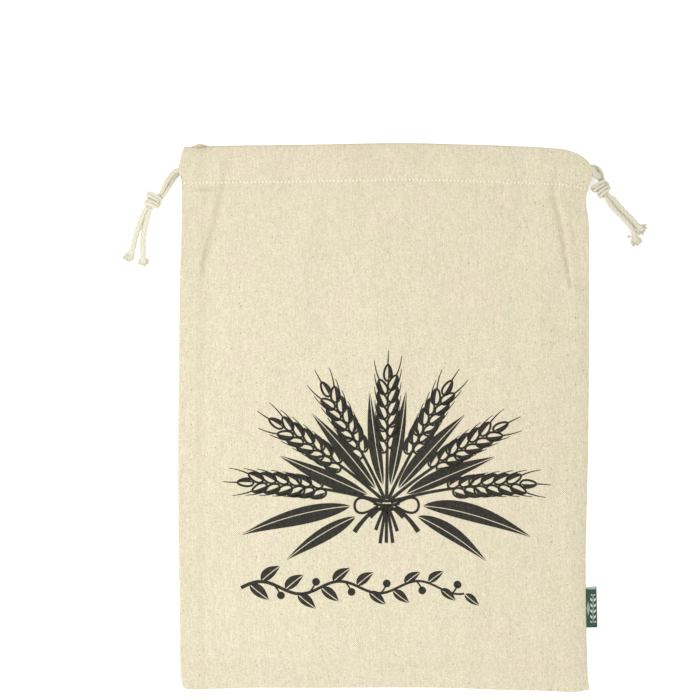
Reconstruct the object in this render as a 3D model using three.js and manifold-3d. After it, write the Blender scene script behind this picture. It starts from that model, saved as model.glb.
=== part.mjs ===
// A drawstring bread bag of unbleached cotton, empty and lying flat on its back.
// Millimetres: X runs across the bag, Y from its bottom seam to its mouth, Z up from the table.

import * as THREE from "three";
import { mergeVertices } from "three/addons/utils/BufferGeometryUtils.js";
import Module from "manifold-3d";

// The flat bag, and where its middle line lies: the label reaches past one side seam.
const BAG_WIDTH = 300;
const BAG_LENGTH = 400;
const BAG_MIDDLE_X = -3;

// The cloth and its seams.
const PLY = 1;
const GAP = 0.3;
const SEAM_ALLOWANCE = 17;
const SEAM_GAP = 0.8;
const SEAM_ROLL = 1.6;
const BACK_INSET = 0.4;

// The hem that is turned over at the mouth, and the tunnel it makes for the cords.
const HEM_DEPTH = 27;
const TUNNEL_HEIGHT = 2.8;
const FOLD_ROUND = 0.7;
const TUNNEL_FLATNESS = 4;

// How far the empty bag stands open, and how far in from its edges it takes to rise.
const LOFT = 6;
const LOFT_REACH = 45;
const MOUTH_GAP = 5;
const HEM_END_GAP = 0.4;
const HEM_END_STEEPNESS = 8;
const HEM_REACH_MIDDLE = 45;
const HEM_REACH_EDGE = 16;

// The cords: round where they are free, pressed to an oval in the tunnels.
const CORD = 4.2;
const KNOTTED_CORD = 3;
const STRANDS_APART = 2.5;
const TUNNEL_CORD_WIDTH = 5;
const TUNNEL_CORD_HEIGHT = 1.9;
const LEFT_CORD_Y = 182.2;
const RIGHT_CORD_Y = 189;
const TURN_REACH = 3.6;
const TURN_CLEARANCE = 2.2;
const TURN_ANGLES = [60, 30, 0, -30, -60];
const CORD_SIDES = 8;
const KNOT_STEP = 3;
const FREE_STEP = 8;

// The folded label in the side seam.
const LABEL_HEIGHT = 28;
const LABEL_MIDDLE_Y = -140;
const LABEL_OUTER_X = 157;
const LABEL_SEWN_IN = 7;
const LABEL_PLY = 0.85;

const HALF_WIDTH = BAG_WIDTH / 2;
const HALF_LENGTH = BAG_LENGTH / 2;
const HEM_LINE = HALF_LENGTH - HEM_DEPTH;
const HEM_THICKNESS = 2 * PLY + TUNNEL_HEIGHT;
const SEAM_TOP = 4 * PLY + SEAM_GAP;
const SEAM_EDGE_X = 148.2;
const PAST_SIDE = HALF_WIDTH + 12;

// How far the side edges wander from straight, up the bag.
const SIDE_EDGES = [
  { y: -200, left: 3.8, right: -2.8 },
  { y: -196, left: 1.3, right: 0.1 },
  { y: -180, left: 0, right: 0 },
  { y: -140, left: -0.1, right: -1.2 },
  { y: -100, left: -0.9, right: -1.3 },
  { y: -60, left: -1.1, right: -0.5 },
  { y: -15, left: -1.2, right: 0.5 },
  { y: 40, left: -0.7, right: 1 },
  { y: 100, left: 0.1, right: 1.1 },
  { y: 148, left: 1.4, right: 0.8 },
  { y: 165, left: 1.6, right: -1.4 },
  { y: 174, left: 1.5, right: 0.4 },
  { y: 182, left: -0.3, right: 2.7 },
  { y: 190, left: 0.7, right: 2.3 },
  { y: 196, left: 2.3, right: -2.5 },
  { y: 200, left: 3.5, right: -8 },
];

// How far the bottom seam and the mouth wander from straight, across the bag.
const END_EDGES = [
  { x: -150, bottom: 1, top: -0.5 },
  { x: -143, bottom: 0.4, top: -0.2 },
  { x: -120, bottom: 1, top: -0.3 },
  { x: -100, bottom: 1.6, top: 0 },
  { x: -60, bottom: 1.5, top: 0.4 },
  { x: 15, bottom: 1.8, top: 1.7 },
  { x: 50, bottom: 1.4, top: 1 },
  { x: 80, bottom: 0.2, top: 0.2 },
  { x: 115, bottom: -0.6, top: -1.1 },
  { x: 140, bottom: -1.5, top: -2.8 },
  { x: 150, bottom: 0.4, top: -5.4 },
];

// The two long creases that run down the front from the cord ends: a trough with a ridge beside it.
const CREASE_WIDTH = 5;
const CREASE_RIDGE = { share: 0.5, away: 1.8 };
const CREASES_END = 96;
const LEFT_CREASE = [
  { y: 102, x: -134, depth: 0 },
  { y: 118, x: -132.2, depth: 0.9 },
  { y: 140, x: -126.7, depth: 1.2 },
  { y: 164, x: -121.4, depth: 1 },
  { y: 174, x: -118.8, depth: 0 },
];
const RIGHT_CREASE = [
  { y: CREASES_END, x: 136.5, depth: 0 },
  { y: 104, x: 135.3, depth: 1 },
  { y: 132, x: 130.4, depth: 1.3 },
  { y: 152, x: 127.4, depth: 1.2 },
  { y: 166, x: 125.6, depth: 0.9 },
  { y: 174, x: 124.5, depth: 0 },
];

// A small lip of the back's hem that stands past the front's, near the left end of the mouth.
const BACK_LIP = { x: -136, width: 5, reach: 2.6, depth: 10 };

// The doubled overhand knot: along runs from the bag to the tails, and each row says which way the
// second strand lies from the first.
const KNOT_ROUTE = [
  { along: -5.6, across: 3.3, up: 4.4, beside: [0, 1, 0] },
  { along: -2, across: 2.2, up: 4.2, beside: [0, 1, 0] },
  { along: 1.6, across: 0.2, up: 4, beside: [0, 1, 0] },
  { along: 4.2, across: -2, up: 4.3, beside: [0.7, 0.7, 0] },
  { along: 4, across: -4.2, up: 5.6, beside: [1, 0, 0] },
  { along: 2.8, across: -3, up: 7.6, beside: [1, 0, 0] },
  { along: 2.3, across: 0.4, up: 8.4, beside: [1, 0, 0] },
  { along: 2.1, across: 3.6, up: 7, beside: [1, 0, 0] },
  { along: 1.8, across: 4.6, up: 4.6, beside: [1, 0, 0] },
  { along: 1.2, across: 3.4, up: 2.3, beside: [1, 0, 0] },
  { along: 0, across: 0, up: 1.7, beside: [1, 0, 0] },
  { along: -1.4, across: -4, up: 2.3, beside: [1, 0, 0] },
  { along: -2.2, across: -5.7, up: 4.6, beside: [1, 0, 0] },
  { along: -2.6, across: -4.2, up: 7, beside: [1, 0, 0] },
  { along: -2.7, across: -0.4, up: 8.3, beside: [1, 0, 0] },
  { along: -2.4, across: 3.1, up: 7.4, beside: [0.9, -0.4, 0] },
  { along: -0.5, across: 4, up: 5.8, beside: [0.4, -0.9, 0] },
  { along: 2.6, across: 1.8, up: 5.6, beside: [0, -1, 0] },
  { along: 6, across: 0.4, up: 4.8, beside: [0, -1, 0] },
];

// Each cord's knot, its two leads from the hem to the knot, and its two tails to their frayed tips.
const LEFT_CORD = {
  y: LEFT_CORD_Y,
  side: -1,
  turn: 142.4,
  knot: { x: -168.9, y: 159.7, heading: -119 },
  frontLead: [
    [-151, 181.8, 7.5],
    [-154.2, 180.4, 7.2],
    [-157.6, 176.2, 6.2],
    [-160.9, 170.6, 5.2],
  ],
  backLead: [
    [-150.8, 180, 2.5],
    [-153.3, 176.9, 2.6],
    [-156.4, 172.2, 3.1],
    [-159.4, 167.2, 3.8],
  ],
  firstTail: [
    [-175.2, 152.2, 3],
    [-179, 143.8, 2.2],
    [-182.6, 133.2, 2.2],
    [-185, 123.6, 2.3],
    [-188.4, 117.4, 2.8],
  ],
  secondTail: [
    [-172.9, 150.8, 3],
    [-174.9, 142.6, 2.2],
    [-176.6, 132.5, 2.2],
    [-176.9, 121.8, 2.3],
    [-176.4, 113.6, 2.8],
  ],
};
const RIGHT_CORD = {
  y: RIGHT_CORD_Y,
  side: 1,
  turn: 143.1,
  knot: { x: 160.2, y: 168.9, heading: -59.4 },
  frontLead: [
    [152.8, 182.4, 7.5],
    [154.8, 179.6, 7.4],
    [157.2, 177.6, 6.6],
  ],
  backLead: [
    [153.4, 184.8, 2.5],
    [156.6, 184, 2.6],
    [159.4, 181, 3.2],
  ],
  firstTail: [
    [165.6, 158.9, 3],
    [171.2, 151.9, 2.2],
    [177.6, 145.6, 2.2],
    [183, 138.6, 2.3],
    [186, 129.4, 2.8],
  ],
  secondTail: [
    [168.6, 160.9, 3],
    [174, 154.7, 2.2],
    [181.6, 147, 2.2],
    [186.6, 141.6, 2.3],
    [190.8, 138, 2.8],
  ],
};
const FRAYED_TIP = 5.4;

const COLOURS = {
  cotton: 0xe8dfc2,
  cord: 0xf0ead8,
  label: 0x3e684e,
};

const wasm = await Module();
wasm.setup();

const clamp01 = (t) => Math.min(1, Math.max(0, t));
const blend = (a, b, t) => a + (b - a) * t;
const ease = (from, to, value) => {
  const t = clamp01((value - from) / (to - from));
  return t * t * (3 - 2 * t);
};
const settle = (depth) => 1 - (1 - clamp01(depth / LOFT_REACH)) ** 2;

// Reads one column of a table at a place along another, as a smooth curve through the rows.
function readTable(rows, key, column, at) {
  const last = rows.length - 1;
  const spot = Math.min(rows[last][key], Math.max(rows[0][key], at));
  let i = 0;
  while (i < last - 1 && spot > rows[i + 1][key]) i += 1;
  const slope = (n) => {
    const before = rows[Math.max(0, n - 1)];
    const after = rows[Math.min(last, n + 1)];
    return (after[column] - before[column]) / (after[key] - before[key]);
  };
  const span = rows[i + 1][key] - rows[i][key];
  const t = (spot - rows[i][key]) / span;
  const rise = rows[i + 1][column] - rows[i][column];
  const bend = t * (1 - t) * span;
  const leave = slope(i) * (1 - t) - slope(i + 1) * t;
  const straighten = (rise / span) * (2 * t - 1);
  return rows[i][column] + rise * t + bend * (leave + straighten);
}

// Moves a point of the straight-edged bag to where the uneven bag has it.
function place(x, y) {
  const u = (x + HALF_WIDTH) / BAG_WIDTH;
  const v = (y + HALF_LENGTH) / BAG_LENGTH;
  const left = readTable(SIDE_EDGES, "y", "left", y);
  const right = readTable(SIDE_EDGES, "y", "right", y);
  const bottom = readTable(END_EDGES, "x", "bottom", x);
  const top = readTable(END_EDGES, "x", "top", x);
  return [x + blend(left, right, u), y + blend(bottom, top, v)];
}

function creaseDrop(rows, outward, x, y) {
  if (y < rows[0].y || y > rows[rows.length - 1].y) return 0;
  const away = ((x - readTable(rows, "y", "x", y)) * outward) / CREASE_WIDTH;
  const trough = Math.exp(-(away ** 2));
  const ridge = CREASE_RIDGE.share * Math.exp(-((away - CREASE_RIDGE.away) ** 2));
  return Math.max(0, readTable(rows, "y", "depth", y)) * (trough - ridge);
}

// How full the hem's tunnel is, from 0 at its stitch line and its fold to 1 between them.
const tunnelShape = (y) => Math.max(0, 1 - Math.abs((2 * (y - HEM_LINE)) / HEM_DEPTH - 1) ** TUNNEL_FLATNESS);

// The underside of the front's hem: close to the back's at both ends, open in the middle.
function frontHemFloor(x) {
  const across = Math.min(1, Math.abs(x) / HALF_WIDTH);
  return HEM_THICKNESS + HEM_END_GAP + (MOUTH_GAP - HEM_END_GAP) * (1 - across ** HEM_END_STEEPNESS);
}

const inSeam = (x, y) => {
  const inside = Math.min(HALF_WIDTH - Math.abs(x), y + HALF_LENGTH);
  return inside < SEAM_ALLOWANCE ? 1 : 0;
};
const rollDrop = (inside) => {
  const t = clamp01(1 - inside / SEAM_ROLL);
  return SEAM_ROLL * (1 - Math.sqrt(1 - t * t));
};
const foldDrop = (y, end) => FOLD_ROUND * clamp01((y - end + SEAM_ROLL) / SEAM_ROLL);

function frontTop(x, y) {
  const aside = HALF_WIDTH - Math.abs(x);
  const above = y + HALF_LENGTH;
  const hemFoot = frontHemFloor(x) + 2 * PLY;
  if (y >= HEM_LINE) return hemFoot + TUNNEL_HEIGHT * tunnelShape(y) - foldDrop(y, HALF_LENGTH);
  const creases = creaseDrop(LEFT_CREASE, -1, x, y) + creaseDrop(RIGHT_CREASE, 1, x, y);
  const body = SEAM_TOP + LOFT * settle(aside) * settle(above) - creases;
  const reach = blend(HEM_REACH_EDGE, HEM_REACH_MIDDLE, ease(0, LOFT_REACH, aside));
  const level = blend(body, hemFoot, ease(HEM_LINE - reach, HEM_LINE, y));
  const sideRoll = rollDrop(aside) * ease(HEM_LINE, HEM_LINE - HEM_REACH_EDGE, y);
  return level - Math.max(sideRoll, rollDrop(above));
}

function frontUnderside(x, y) {
  if (y >= HEM_LINE) return frontHemFloor(x) + foldDrop(y, HALF_LENGTH);
  const aside = Math.max(SEAM_ROLL, HALF_WIDTH - Math.abs(x));
  const above = Math.max(SEAM_ROLL, y + HALF_LENGTH);
  const unrolled = frontTop(Math.sign(x) * (HALF_WIDTH - aside), above - HALF_LENGTH);
  const hem = ease(HEM_LINE - 2 * PLY, HEM_LINE, y);
  return unrolled - PLY * (1 + Math.max(inSeam(x, y), hem));
}

function backTop(x, y) {
  const end = HALF_LENGTH - BACK_INSET;
  if (y >= HEM_LINE) return 2 * PLY + TUNNEL_HEIGHT * tunnelShape(y) - foldDrop(y, end);
  const hem = ease(HEM_LINE - 2 * PLY, HEM_LINE, y);
  return PLY * (1 + Math.max(inSeam(x, y), hem));
}

function backUnderside(x, y) {
  const aside = HALF_WIDTH - BACK_INSET - Math.abs(x);
  const above = y + HALF_LENGTH - BACK_INSET;
  if (y >= HEM_LINE) return foldDrop(y, HALF_LENGTH - BACK_INSET);
  const sideRoll = rollDrop(aside) * ease(HEM_LINE, HEM_LINE - HEM_REACH_EDGE, y);
  return Math.max(sideRoll, rollDrop(above));
}

// The back's outline: the same cut, a little inside the front's, with its lip at the mouth.
function placeBack(x, y) {
  const [px, py] = place(x, y);
  const lip = BACK_LIP.reach * Math.exp(-(((x - BACK_LIP.x) / BACK_LIP.width) ** 2));
  return [px, py + lip * ease(HALF_LENGTH - BACK_LIP.depth, HALF_LENGTH, y)];
}

const solidOf = (geometry) => {
  const bare = geometry.clone();
  bare.deleteAttribute("normal");
  bare.deleteAttribute("uv");
  const merged = mergeVertices(bare, 1e-4);
  const mesh = new wasm.Mesh({
    numProp: 3,
    vertProperties: new Float32Array(merged.attributes.position.array),
    triVerts: new Uint32Array(merged.index.array),
  });
  return new wasm.Manifold(mesh);
};

const geometryOf = (solid) => {
  const mesh = solid.getMesh();
  const geometry = new THREE.BufferGeometry();
  geometry.setAttribute("position", new THREE.BufferAttribute(mesh.vertProperties, 3));
  geometry.setIndex(new THREE.BufferAttribute(mesh.triVerts, 1));
  geometry.computeVertexNormals();
  return geometry;
};

const closedGeometry = (points, triangles) => {
  const geometry = new THREE.BufferGeometry();
  geometry.setAttribute("position", new THREE.Float32BufferAttribute(points.flat(), 3));
  geometry.setIndex(triangles.flat());
  return geometry;
};

// A closed sheet over a net of columns and rows, from its top and underside heights.
function sheetGeometry(columns, rows, placeAt, topAt, undersideAt) {
  const wide = columns.length;
  const points = [];
  for (const heightAt of [topAt, undersideAt]) {
    for (const y of rows) {
      for (const x of columns) points.push([...placeAt(x, y), heightAt(x, y)]);
    }
  }
  const under = wide * rows.length;
  const triangles = [];
  const quad = (a, b, c, d) => triangles.push([a, b, c], [a, c, d]);
  for (let j = 0; j < rows.length - 1; j += 1) {
    for (let i = 0; i < wide - 1; i += 1) {
      const a = j * wide + i;
      quad(a, a + 1, a + wide + 1, a + wide);
      quad(under + a, under + a + wide, under + a + wide + 1, under + a + 1);
    }
  }
  const wall = (a, b) => quad(a, under + a, under + b, b);
  const lastRow = (rows.length - 1) * wide;
  for (let i = 0; i < wide - 1; i += 1) {
    wall(i, i + 1);
    wall(lastRow + i + 1, lastRow + i);
  }
  for (let j = 0; j < rows.length - 1; j += 1) {
    wall((j + 1) * wide, j * wide);
    wall(j * wide + wide - 1, (j + 1) * wide + wide - 1);
  }
  return closedGeometry(points, triangles);
}

// A closed tube through rings of points, each ring as many points round as the last.
function ringGeometry(rings) {
  const sides = rings[0].length;
  const points = rings.flat();
  const triangles = [];
  for (let i = 0; i < rings.length - 1; i += 1) {
    for (let k = 0; k < sides; k += 1) {
      const a = i * sides + k;
      const b = i * sides + ((k + 1) % sides);
      triangles.push([a, b, b + sides], [a, b + sides, a + sides]);
    }
  }
  const end = (rings.length - 1) * sides;
  for (let k = 1; k < sides - 1; k += 1) {
    triangles.push([0, k + 1, k], [end, end + k, end + k + 1]);
  }
  return closedGeometry(points, triangles);
}

// One ring of a cord's section, from its two half axes.
function ringRound(centre, wide, thin) {
  return Array.from({ length: CORD_SIDES }, (_, k) => {
    const turn = ((k + 0.5) * 2 * Math.PI) / CORD_SIDES;
    const point = centre.clone().addScaledVector(wide, Math.cos(turn));
    return point.addScaledVector(thin, Math.sin(turn)).toArray();
  });
}

const evenly = (from, to, spacing) => {
  const count = Math.max(1, Math.round((to - from) / spacing));
  return Array.from({ length: count + 1 }, (_, i) => blend(from, to, i / count));
};
const ascending = (values) => [...new Set(values.map((v) => Number(v.toFixed(3))))].sort((a, b) => a - b);

// Distances in from an edge where the net needs a line: the seam's roll and the allowance's step.
const seamLines = [0, 0.5, SEAM_ROLL, 7, SEAM_ALLOWANCE - 0.5, SEAM_ALLOWANCE + 0.5];
const hemLines = [0, 0.06, 0.16, 0.3, 0.5, 0.7, 0.84, 0.94, 1].map((w) => HEM_LINE + w * HEM_DEPTH);

function sheetLines(inset, loftLines, fieldSpacing, extraColumns, extraRows) {
  const half = HALF_WIDTH - inset;
  const foot = HALF_LENGTH - inset;
  const edgeLines = [...seamLines, ...loftLines];
  const field = LOFT_REACH - half;
  const columns = [...edgeLines.flatMap((d) => [d - half, half - d]), ...evenly(field, -field, fieldSpacing)];
  const rows = [...edgeLines.map((d) => d - foot), ...evenly(LOFT_REACH - foot, CREASES_END, fieldSpacing)];
  return {
    columns: ascending([...columns, ...extraColumns]),
    rows: ascending([...rows, ...extraRows, ...hemLines.map((y) => Math.min(y, foot))]),
  };
}

// Distances from the middle line where the hem and its cords need a section: closer where the hem drops.
const hemStops = [0, 45, 90, 112, 124, 132, 138, 142, 146];

// The space inside a hem's tunnel, run out past both ends so that it opens them.
function tunnelSpace(floorAt) {
  const columns = ascending([...hemStops, HALF_WIDTH, PAST_SIDE].flatMap((x) => [-x, x]));
  const rows = hemLines.slice(1, -1);
  const roof = (x, y) => floorAt(x) + PLY + TUNNEL_HEIGHT * tunnelShape(y);
  return solidOf(sheetGeometry(columns, rows, place, roof, (x) => floorAt(x) + PLY));
}

const boxSpace = (low, high) => {
  const size = high.map((v, i) => v - low[i]);
  const box = new THREE.BoxGeometry(...size);
  box.translate(...low.map((v, i) => v + size[i] / 2));
  return solidOf(box);
};

// Where a cord turns back from the front's tunnel into the back's, the inner plies end short of the side.
function turnSpace(cord) {
  const [x, y] = place(-cord.side * cord.turn, cord.y);
  const half = TUNNEL_CORD_WIDTH / 2 + TURN_CLEARANCE;
  const far = -cord.side * PAST_SIDE;
  const near = x + cord.side * TURN_CLEARANCE;
  const low = [Math.min(near, far), y - half, PLY + 2 * GAP];
  return boxSpace(low, [Math.max(near, far), y + half, HEM_THICKNESS + HEM_END_GAP + 3 * PLY]);
}

// The pocket in the side seam that takes the label's two ends.
function labelPocket() {
  const middle = SEAM_TOP / 2;
  const half = LABEL_PLY + 1.5 * GAP;
  const low = [SEAM_EDGE_X - LABEL_SEWN_IN - GAP, LABEL_MIDDLE_Y - LABEL_HEIGHT / 2 - GAP, middle - half];
  const high = [PAST_SIDE, LABEL_MIDDLE_Y + LABEL_HEIGHT / 2 + GAP, middle + half];
  return boxSpace(low, high);
}

function panel(sheet, floorAt) {
  return [tunnelSpace(floorAt), turnSpace(LEFT_CORD), turnSpace(RIGHT_CORD), labelPocket()].reduce(
    (left, cut) => left.subtract(cut),
    solidOf(sheet),
  );
}

function frontPanel() {
  const creaseColumns = [...evenly(-139, -115, 4.8), ...evenly(117, 142, 5)];
  const creaseRows = [...evenly(CREASES_END, 150, 9), 157, 163, 168, 171];
  const { columns, rows } = sheetLines(0, [30], 42, creaseColumns, creaseRows);
  return panel(sheetGeometry(columns, rows, place, frontTop, frontUnderside), frontHemFloor);
}

function backPanel() {
  const lipColumns = evenly(BACK_LIP.x - 8, BACK_LIP.x + 8, 4);
  const { columns, rows } = sheetLines(BACK_INSET, [], 70, lipColumns, [157, 171]);
  return panel(sheetGeometry(columns, rows, placeBack, backTop, backUnderside), () => 0);
}

// A round cord along a route, as short closed lengths joined into one, so that it may cross itself.
function roundCord(route, widths) {
  const points = route.map((p) => new THREE.Vector3(...p));
  const curve = new THREE.CatmullRomCurve3(points, false, "centripetal");
  const last = points.length - 1;
  const stations = [];
  for (let i = 0; i < last; i += 1) {
    const knotted = widths[i] === KNOTTED_CORD && widths[i + 1] === KNOTTED_CORD;
    const spacing = knotted ? KNOT_STEP : FREE_STEP;
    const steps = Math.max(1, Math.round(points[i].distanceTo(points[i + 1]) / spacing));
    for (let s = 0; s < steps; s += 1) stations.push(i + s / steps);
  }
  stations.push(last);
  let side = new THREE.Vector3(0, 0, 1).cross(curve.getTangent(0)).normalize();
  const rings = stations.map((station) => {
    const centre = curve.getPoint(station / last);
    const heading = curve.getTangent(station / last);
    side = side.clone().addScaledVector(heading, -side.dot(heading)).normalize();
    const up = heading.clone().cross(side);
    const row = Math.min(last - 1, Math.floor(station));
    const radius = blend(widths[row], widths[row + 1], station - row) / 2;
    return ringRound(centre, side.clone().multiplyScalar(radius), up.multiplyScalar(radius));
  });
  const lengths = rings.slice(2).map((_, i) => solidOf(ringGeometry(rings.slice(i, i + 3))));
  return lengths.reduce((joined, length) => joined.add(length));
}

// The flattened cord through the front's tunnel, round the far end and back through the back's.
function tunnelCord(cord) {
  const far = -cord.side;
  const middle = PLY + TUNNEL_HEIGHT / 2;
  const exit = HALF_WIDTH + TUNNEL_CORD_WIDTH / 2;
  const near = [...hemStops, HALF_WIDTH, exit].map((x) => -x);
  const stops = ascending([...near, ...hemStops.filter((x) => x < cord.turn), cord.turn]);
  const out = stops.map((x) => [x * far, frontHemFloor(x) + middle]);
  const back = stops.map((x) => [x * far, middle]).reverse();
  const high = frontHemFloor(cord.turn) + middle;
  const bend = TURN_ANGLES.map((degrees) => {
    const turn = THREE.MathUtils.degToRad(degrees);
    const x = cord.turn + TURN_REACH * Math.cos(turn);
    return [x * far, blend(middle, high, 0.5 + 0.5 * Math.sin(turn))];
  });
  const route = [...out, ...bend, ...back].map(([x, z]) => {
    const [px, py] = place(x, cord.y);
    return new THREE.Vector3(px, py, z);
  });
  const wide = new THREE.Vector3(0, TUNNEL_CORD_WIDTH / 2, 0);
  const rings = route.map((centre, i) => {
    const before = route[Math.max(0, i - 1)];
    const after = route[Math.min(route.length - 1, i + 1)];
    const heading = after.clone().sub(before).normalize();
    const thin = heading.cross(new THREE.Vector3(0, 1, 0)).setLength(TUNNEL_CORD_HEIGHT / 2);
    return ringRound(centre, wide, thin);
  });
  return solidOf(ringGeometry(rings));
}

// One free end: its lead from the hem, its way through the knot, and its tail.
function freeEnd(cord, lead, strand, tail) {
  const heading = THREE.MathUtils.degToRad(cord.knot.heading);
  const along = [Math.cos(heading), Math.sin(heading)];
  const across = [-along[1], along[0]];
  const knotted = KNOT_ROUTE.map((row) => {
    const shift = row.beside.map((v) => (v * strand * STRANDS_APART) / 2);
    const a = row.along + shift[0];
    const c = row.across + shift[1];
    const x = cord.knot.x + a * along[0] + c * across[0];
    const y = cord.knot.y + a * along[1] + c * across[1];
    return [x, y, row.up + shift[2]];
  });
  const widths = [
    ...lead.map((_, i) => (i ? KNOTTED_CORD : TUNNEL_CORD_HEIGHT)),
    ...knotted.map(() => KNOTTED_CORD),
    ...tail.map((_, i) => (i < tail.length - 1 ? CORD : FRAYED_TIP)),
  ];
  return roundCord([...lead, ...knotted, ...tail], widths);
}

function drawcord(cord) {
  const first = freeEnd(cord, cord.backLead, 1, cord.firstTail);
  const second = freeEnd(cord, cord.frontLead, -1, cord.secondTail);
  return tunnelCord(cord).add(first).add(second);
}

// A short tape folded in half, its fold outside the seam and both ends inside it.
function sideLabel() {
  const inner = SEAM_EDGE_X - LABEL_SEWN_IN;
  const fold = LABEL_PLY + GAP / 2;
  const straight = LABEL_OUTER_X - fold;
  const section = new THREE.Shape();
  section.moveTo(inner, -fold);
  section.lineTo(straight, -fold);
  section.absarc(straight, 0, fold, -Math.PI / 2, Math.PI / 2, false);
  section.lineTo(inner, fold);
  section.lineTo(inner, GAP / 2);
  section.lineTo(straight, GAP / 2);
  section.lineTo(straight, -GAP / 2);
  section.lineTo(inner, -GAP / 2);
  const run = { depth: LABEL_HEIGHT, bevelEnabled: false, curveSegments: 6 };
  const tape = new THREE.ExtrudeGeometry(section, run);
  tape.rotateX(Math.PI / 2);
  tape.translate(0, LABEL_MIDDLE_Y + LABEL_HEIGHT / 2, SEAM_TOP / 2);
  return solidOf(tape);
}

const bag = new THREE.Group();
bag.position.x = BAG_MIDDLE_X;

function addPiece(name, solid, color) {
  const material = new THREE.MeshStandardMaterial({ color, roughness: 0.9, metalness: 0 });
  const mesh = new THREE.Mesh(geometryOf(solid), material);
  mesh.name = name;
  bag.add(mesh);
}

addPiece("back_panel", backPanel(), COLOURS.cotton);
addPiece("front_panel", frontPanel(), COLOURS.cotton);
addPiece("drawcord_left", drawcord(LEFT_CORD), COLOURS.cord);
addPiece("drawcord_right", drawcord(RIGHT_CORD), COLOURS.cord);
addPiece("side_label", sideLabel(), COLOURS.label);

export default bag;
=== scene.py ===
import math

import bpy
import numpy as np
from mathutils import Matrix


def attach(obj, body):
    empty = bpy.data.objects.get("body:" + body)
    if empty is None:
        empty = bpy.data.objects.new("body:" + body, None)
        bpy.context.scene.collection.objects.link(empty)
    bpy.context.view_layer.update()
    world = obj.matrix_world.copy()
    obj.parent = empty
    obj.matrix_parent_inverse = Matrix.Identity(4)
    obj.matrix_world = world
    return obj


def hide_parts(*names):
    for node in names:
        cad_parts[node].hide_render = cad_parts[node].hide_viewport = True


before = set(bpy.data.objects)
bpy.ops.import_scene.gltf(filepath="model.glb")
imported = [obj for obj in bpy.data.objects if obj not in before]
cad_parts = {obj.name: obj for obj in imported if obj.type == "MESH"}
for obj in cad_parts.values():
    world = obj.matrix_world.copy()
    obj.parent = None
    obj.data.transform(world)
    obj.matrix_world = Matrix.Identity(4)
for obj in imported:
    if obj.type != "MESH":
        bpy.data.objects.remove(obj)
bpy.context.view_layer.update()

# Camera
# The bag lies flat and is seen straight from above, through a long lens that keeps its outline
# true. The picture's middle is above and to the left of the bag's own middle.
CAMERA_HEIGHT = 2.4
CLOTH_LEVEL = 0.008
PICTURE_WIDTH = 0.5135
PICTURE_MIDDLE = (-0.0277, 0.0500)
SENSOR_WIDTH = 36.0

camera = bpy.data.objects.new("camera", bpy.data.cameras.new("camera"))
camera.data.sensor_width = SENSOR_WIDTH
camera.data.lens = SENSOR_WIDTH * (CAMERA_HEIGHT - CLOTH_LEVEL) / PICTURE_WIDTH
camera.location = (*PICTURE_MIDDLE, CAMERA_HEIGHT)
bpy.context.scene.collection.objects.link(camera)
bpy.context.scene.camera = camera

# Free ends of the drawcords
# Each drawcord is a soft braided cotton cord. Its two ends leave the hem at one side of the bag,
# are tied together in one doubled overhand knot, and lie on the table with their cut tips frayed.
MM = 0.001
BAG_MIDDLE_X = -3.0
CORD_WIDTH = 4.4
KNOTTED_WIDTH = 3.1
STRANDS_APART = 1.8
IN_HEM_WIDTH = 2.2
TIP_WIDTH = 3.8
CORD_STEP = 0.35
CORD_SIDES = 32
BRAID_STRANDS = 4
BRAID_PITCH = 2.3
BRAID_RELIEF = 0.05
CORD_COLOUR = (0.725, 0.695, 0.568, 1.0)
# Painted shade: the braid's hollows and the crevices between strands are painted in these darker
# colours.
CORD_HOLLOW_COLOUR = (0.575, 0.537, 0.405, 1.0)
CREVICE_SHADE_COLOUR = (0.27, 0.225, 0.15, 1.0)
CREVICE_REACH = 0.9
OWN_TURN = 2.2 * CORD_WIDTH
TABLE_GAP = 0.05
# Where along a free end its lead's painted shade fades, and where the painted shade between tails
# widens.
LEAD_SHARE = (0.13, 0.22)
LEAD_SHADE = 0.5
TAIL_SHARE = (0.66, 0.76)

# The knot's columns: along it from the bag to the tails, across it, up, and which way the second
# strand lies from the first.
KNOT_ROUTE = (
    (-5.6, 3.3, 4.4, (0, 1)), (-2, 2.2, 4.2, (0, 1)), (1.6, 0.2, 4, (0, 1)),
    (4.2, -2, 4.3, (0.7, 0.7)), (4, -4.2, 5.6, (1, 0)), (2.8, -3, 7.6, (1, 0)),
    (2.3, 0.4, 8.4, (1, 0)), (2.1, 3.6, 7, (1, 0)), (1.8, 4.6, 4.6, (1, 0)),
    (1.2, 3.4, 2.3, (1, 0)), (0, 0, 1.7, (1, 0)), (-1.4, -4, 2.3, (1, 0)),
    (-2.2, -5.7, 4.6, (1, 0)), (-2.6, -4.2, 7, (1, 0)), (-2.7, -0.4, 8.3, (1, 0)),
    (-2.4, 3.1, 7.4, (0.9, -0.4)), (-0.5, 4, 5.8, (0.4, -0.9)), (2.6, 1.8, 5.6, (0, -1)),
    (6, 0.4, 4.8, (0, -1)),
)
# Each cord: its knot's place and heading, how light it is painted (the right one darker, as painted
# shade), and how wide the painted shade between its tails is.
DRAWCORDS = {
    "drawcord_left": {"knot": (-168.9, 159.7, -119), "painted_lightness": 1.0, "valley": 0.9},
    "drawcord_right": {"knot": (160.2, 168.9, -59.4), "painted_lightness": 0.58, "valley": 2.6},
}
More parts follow.
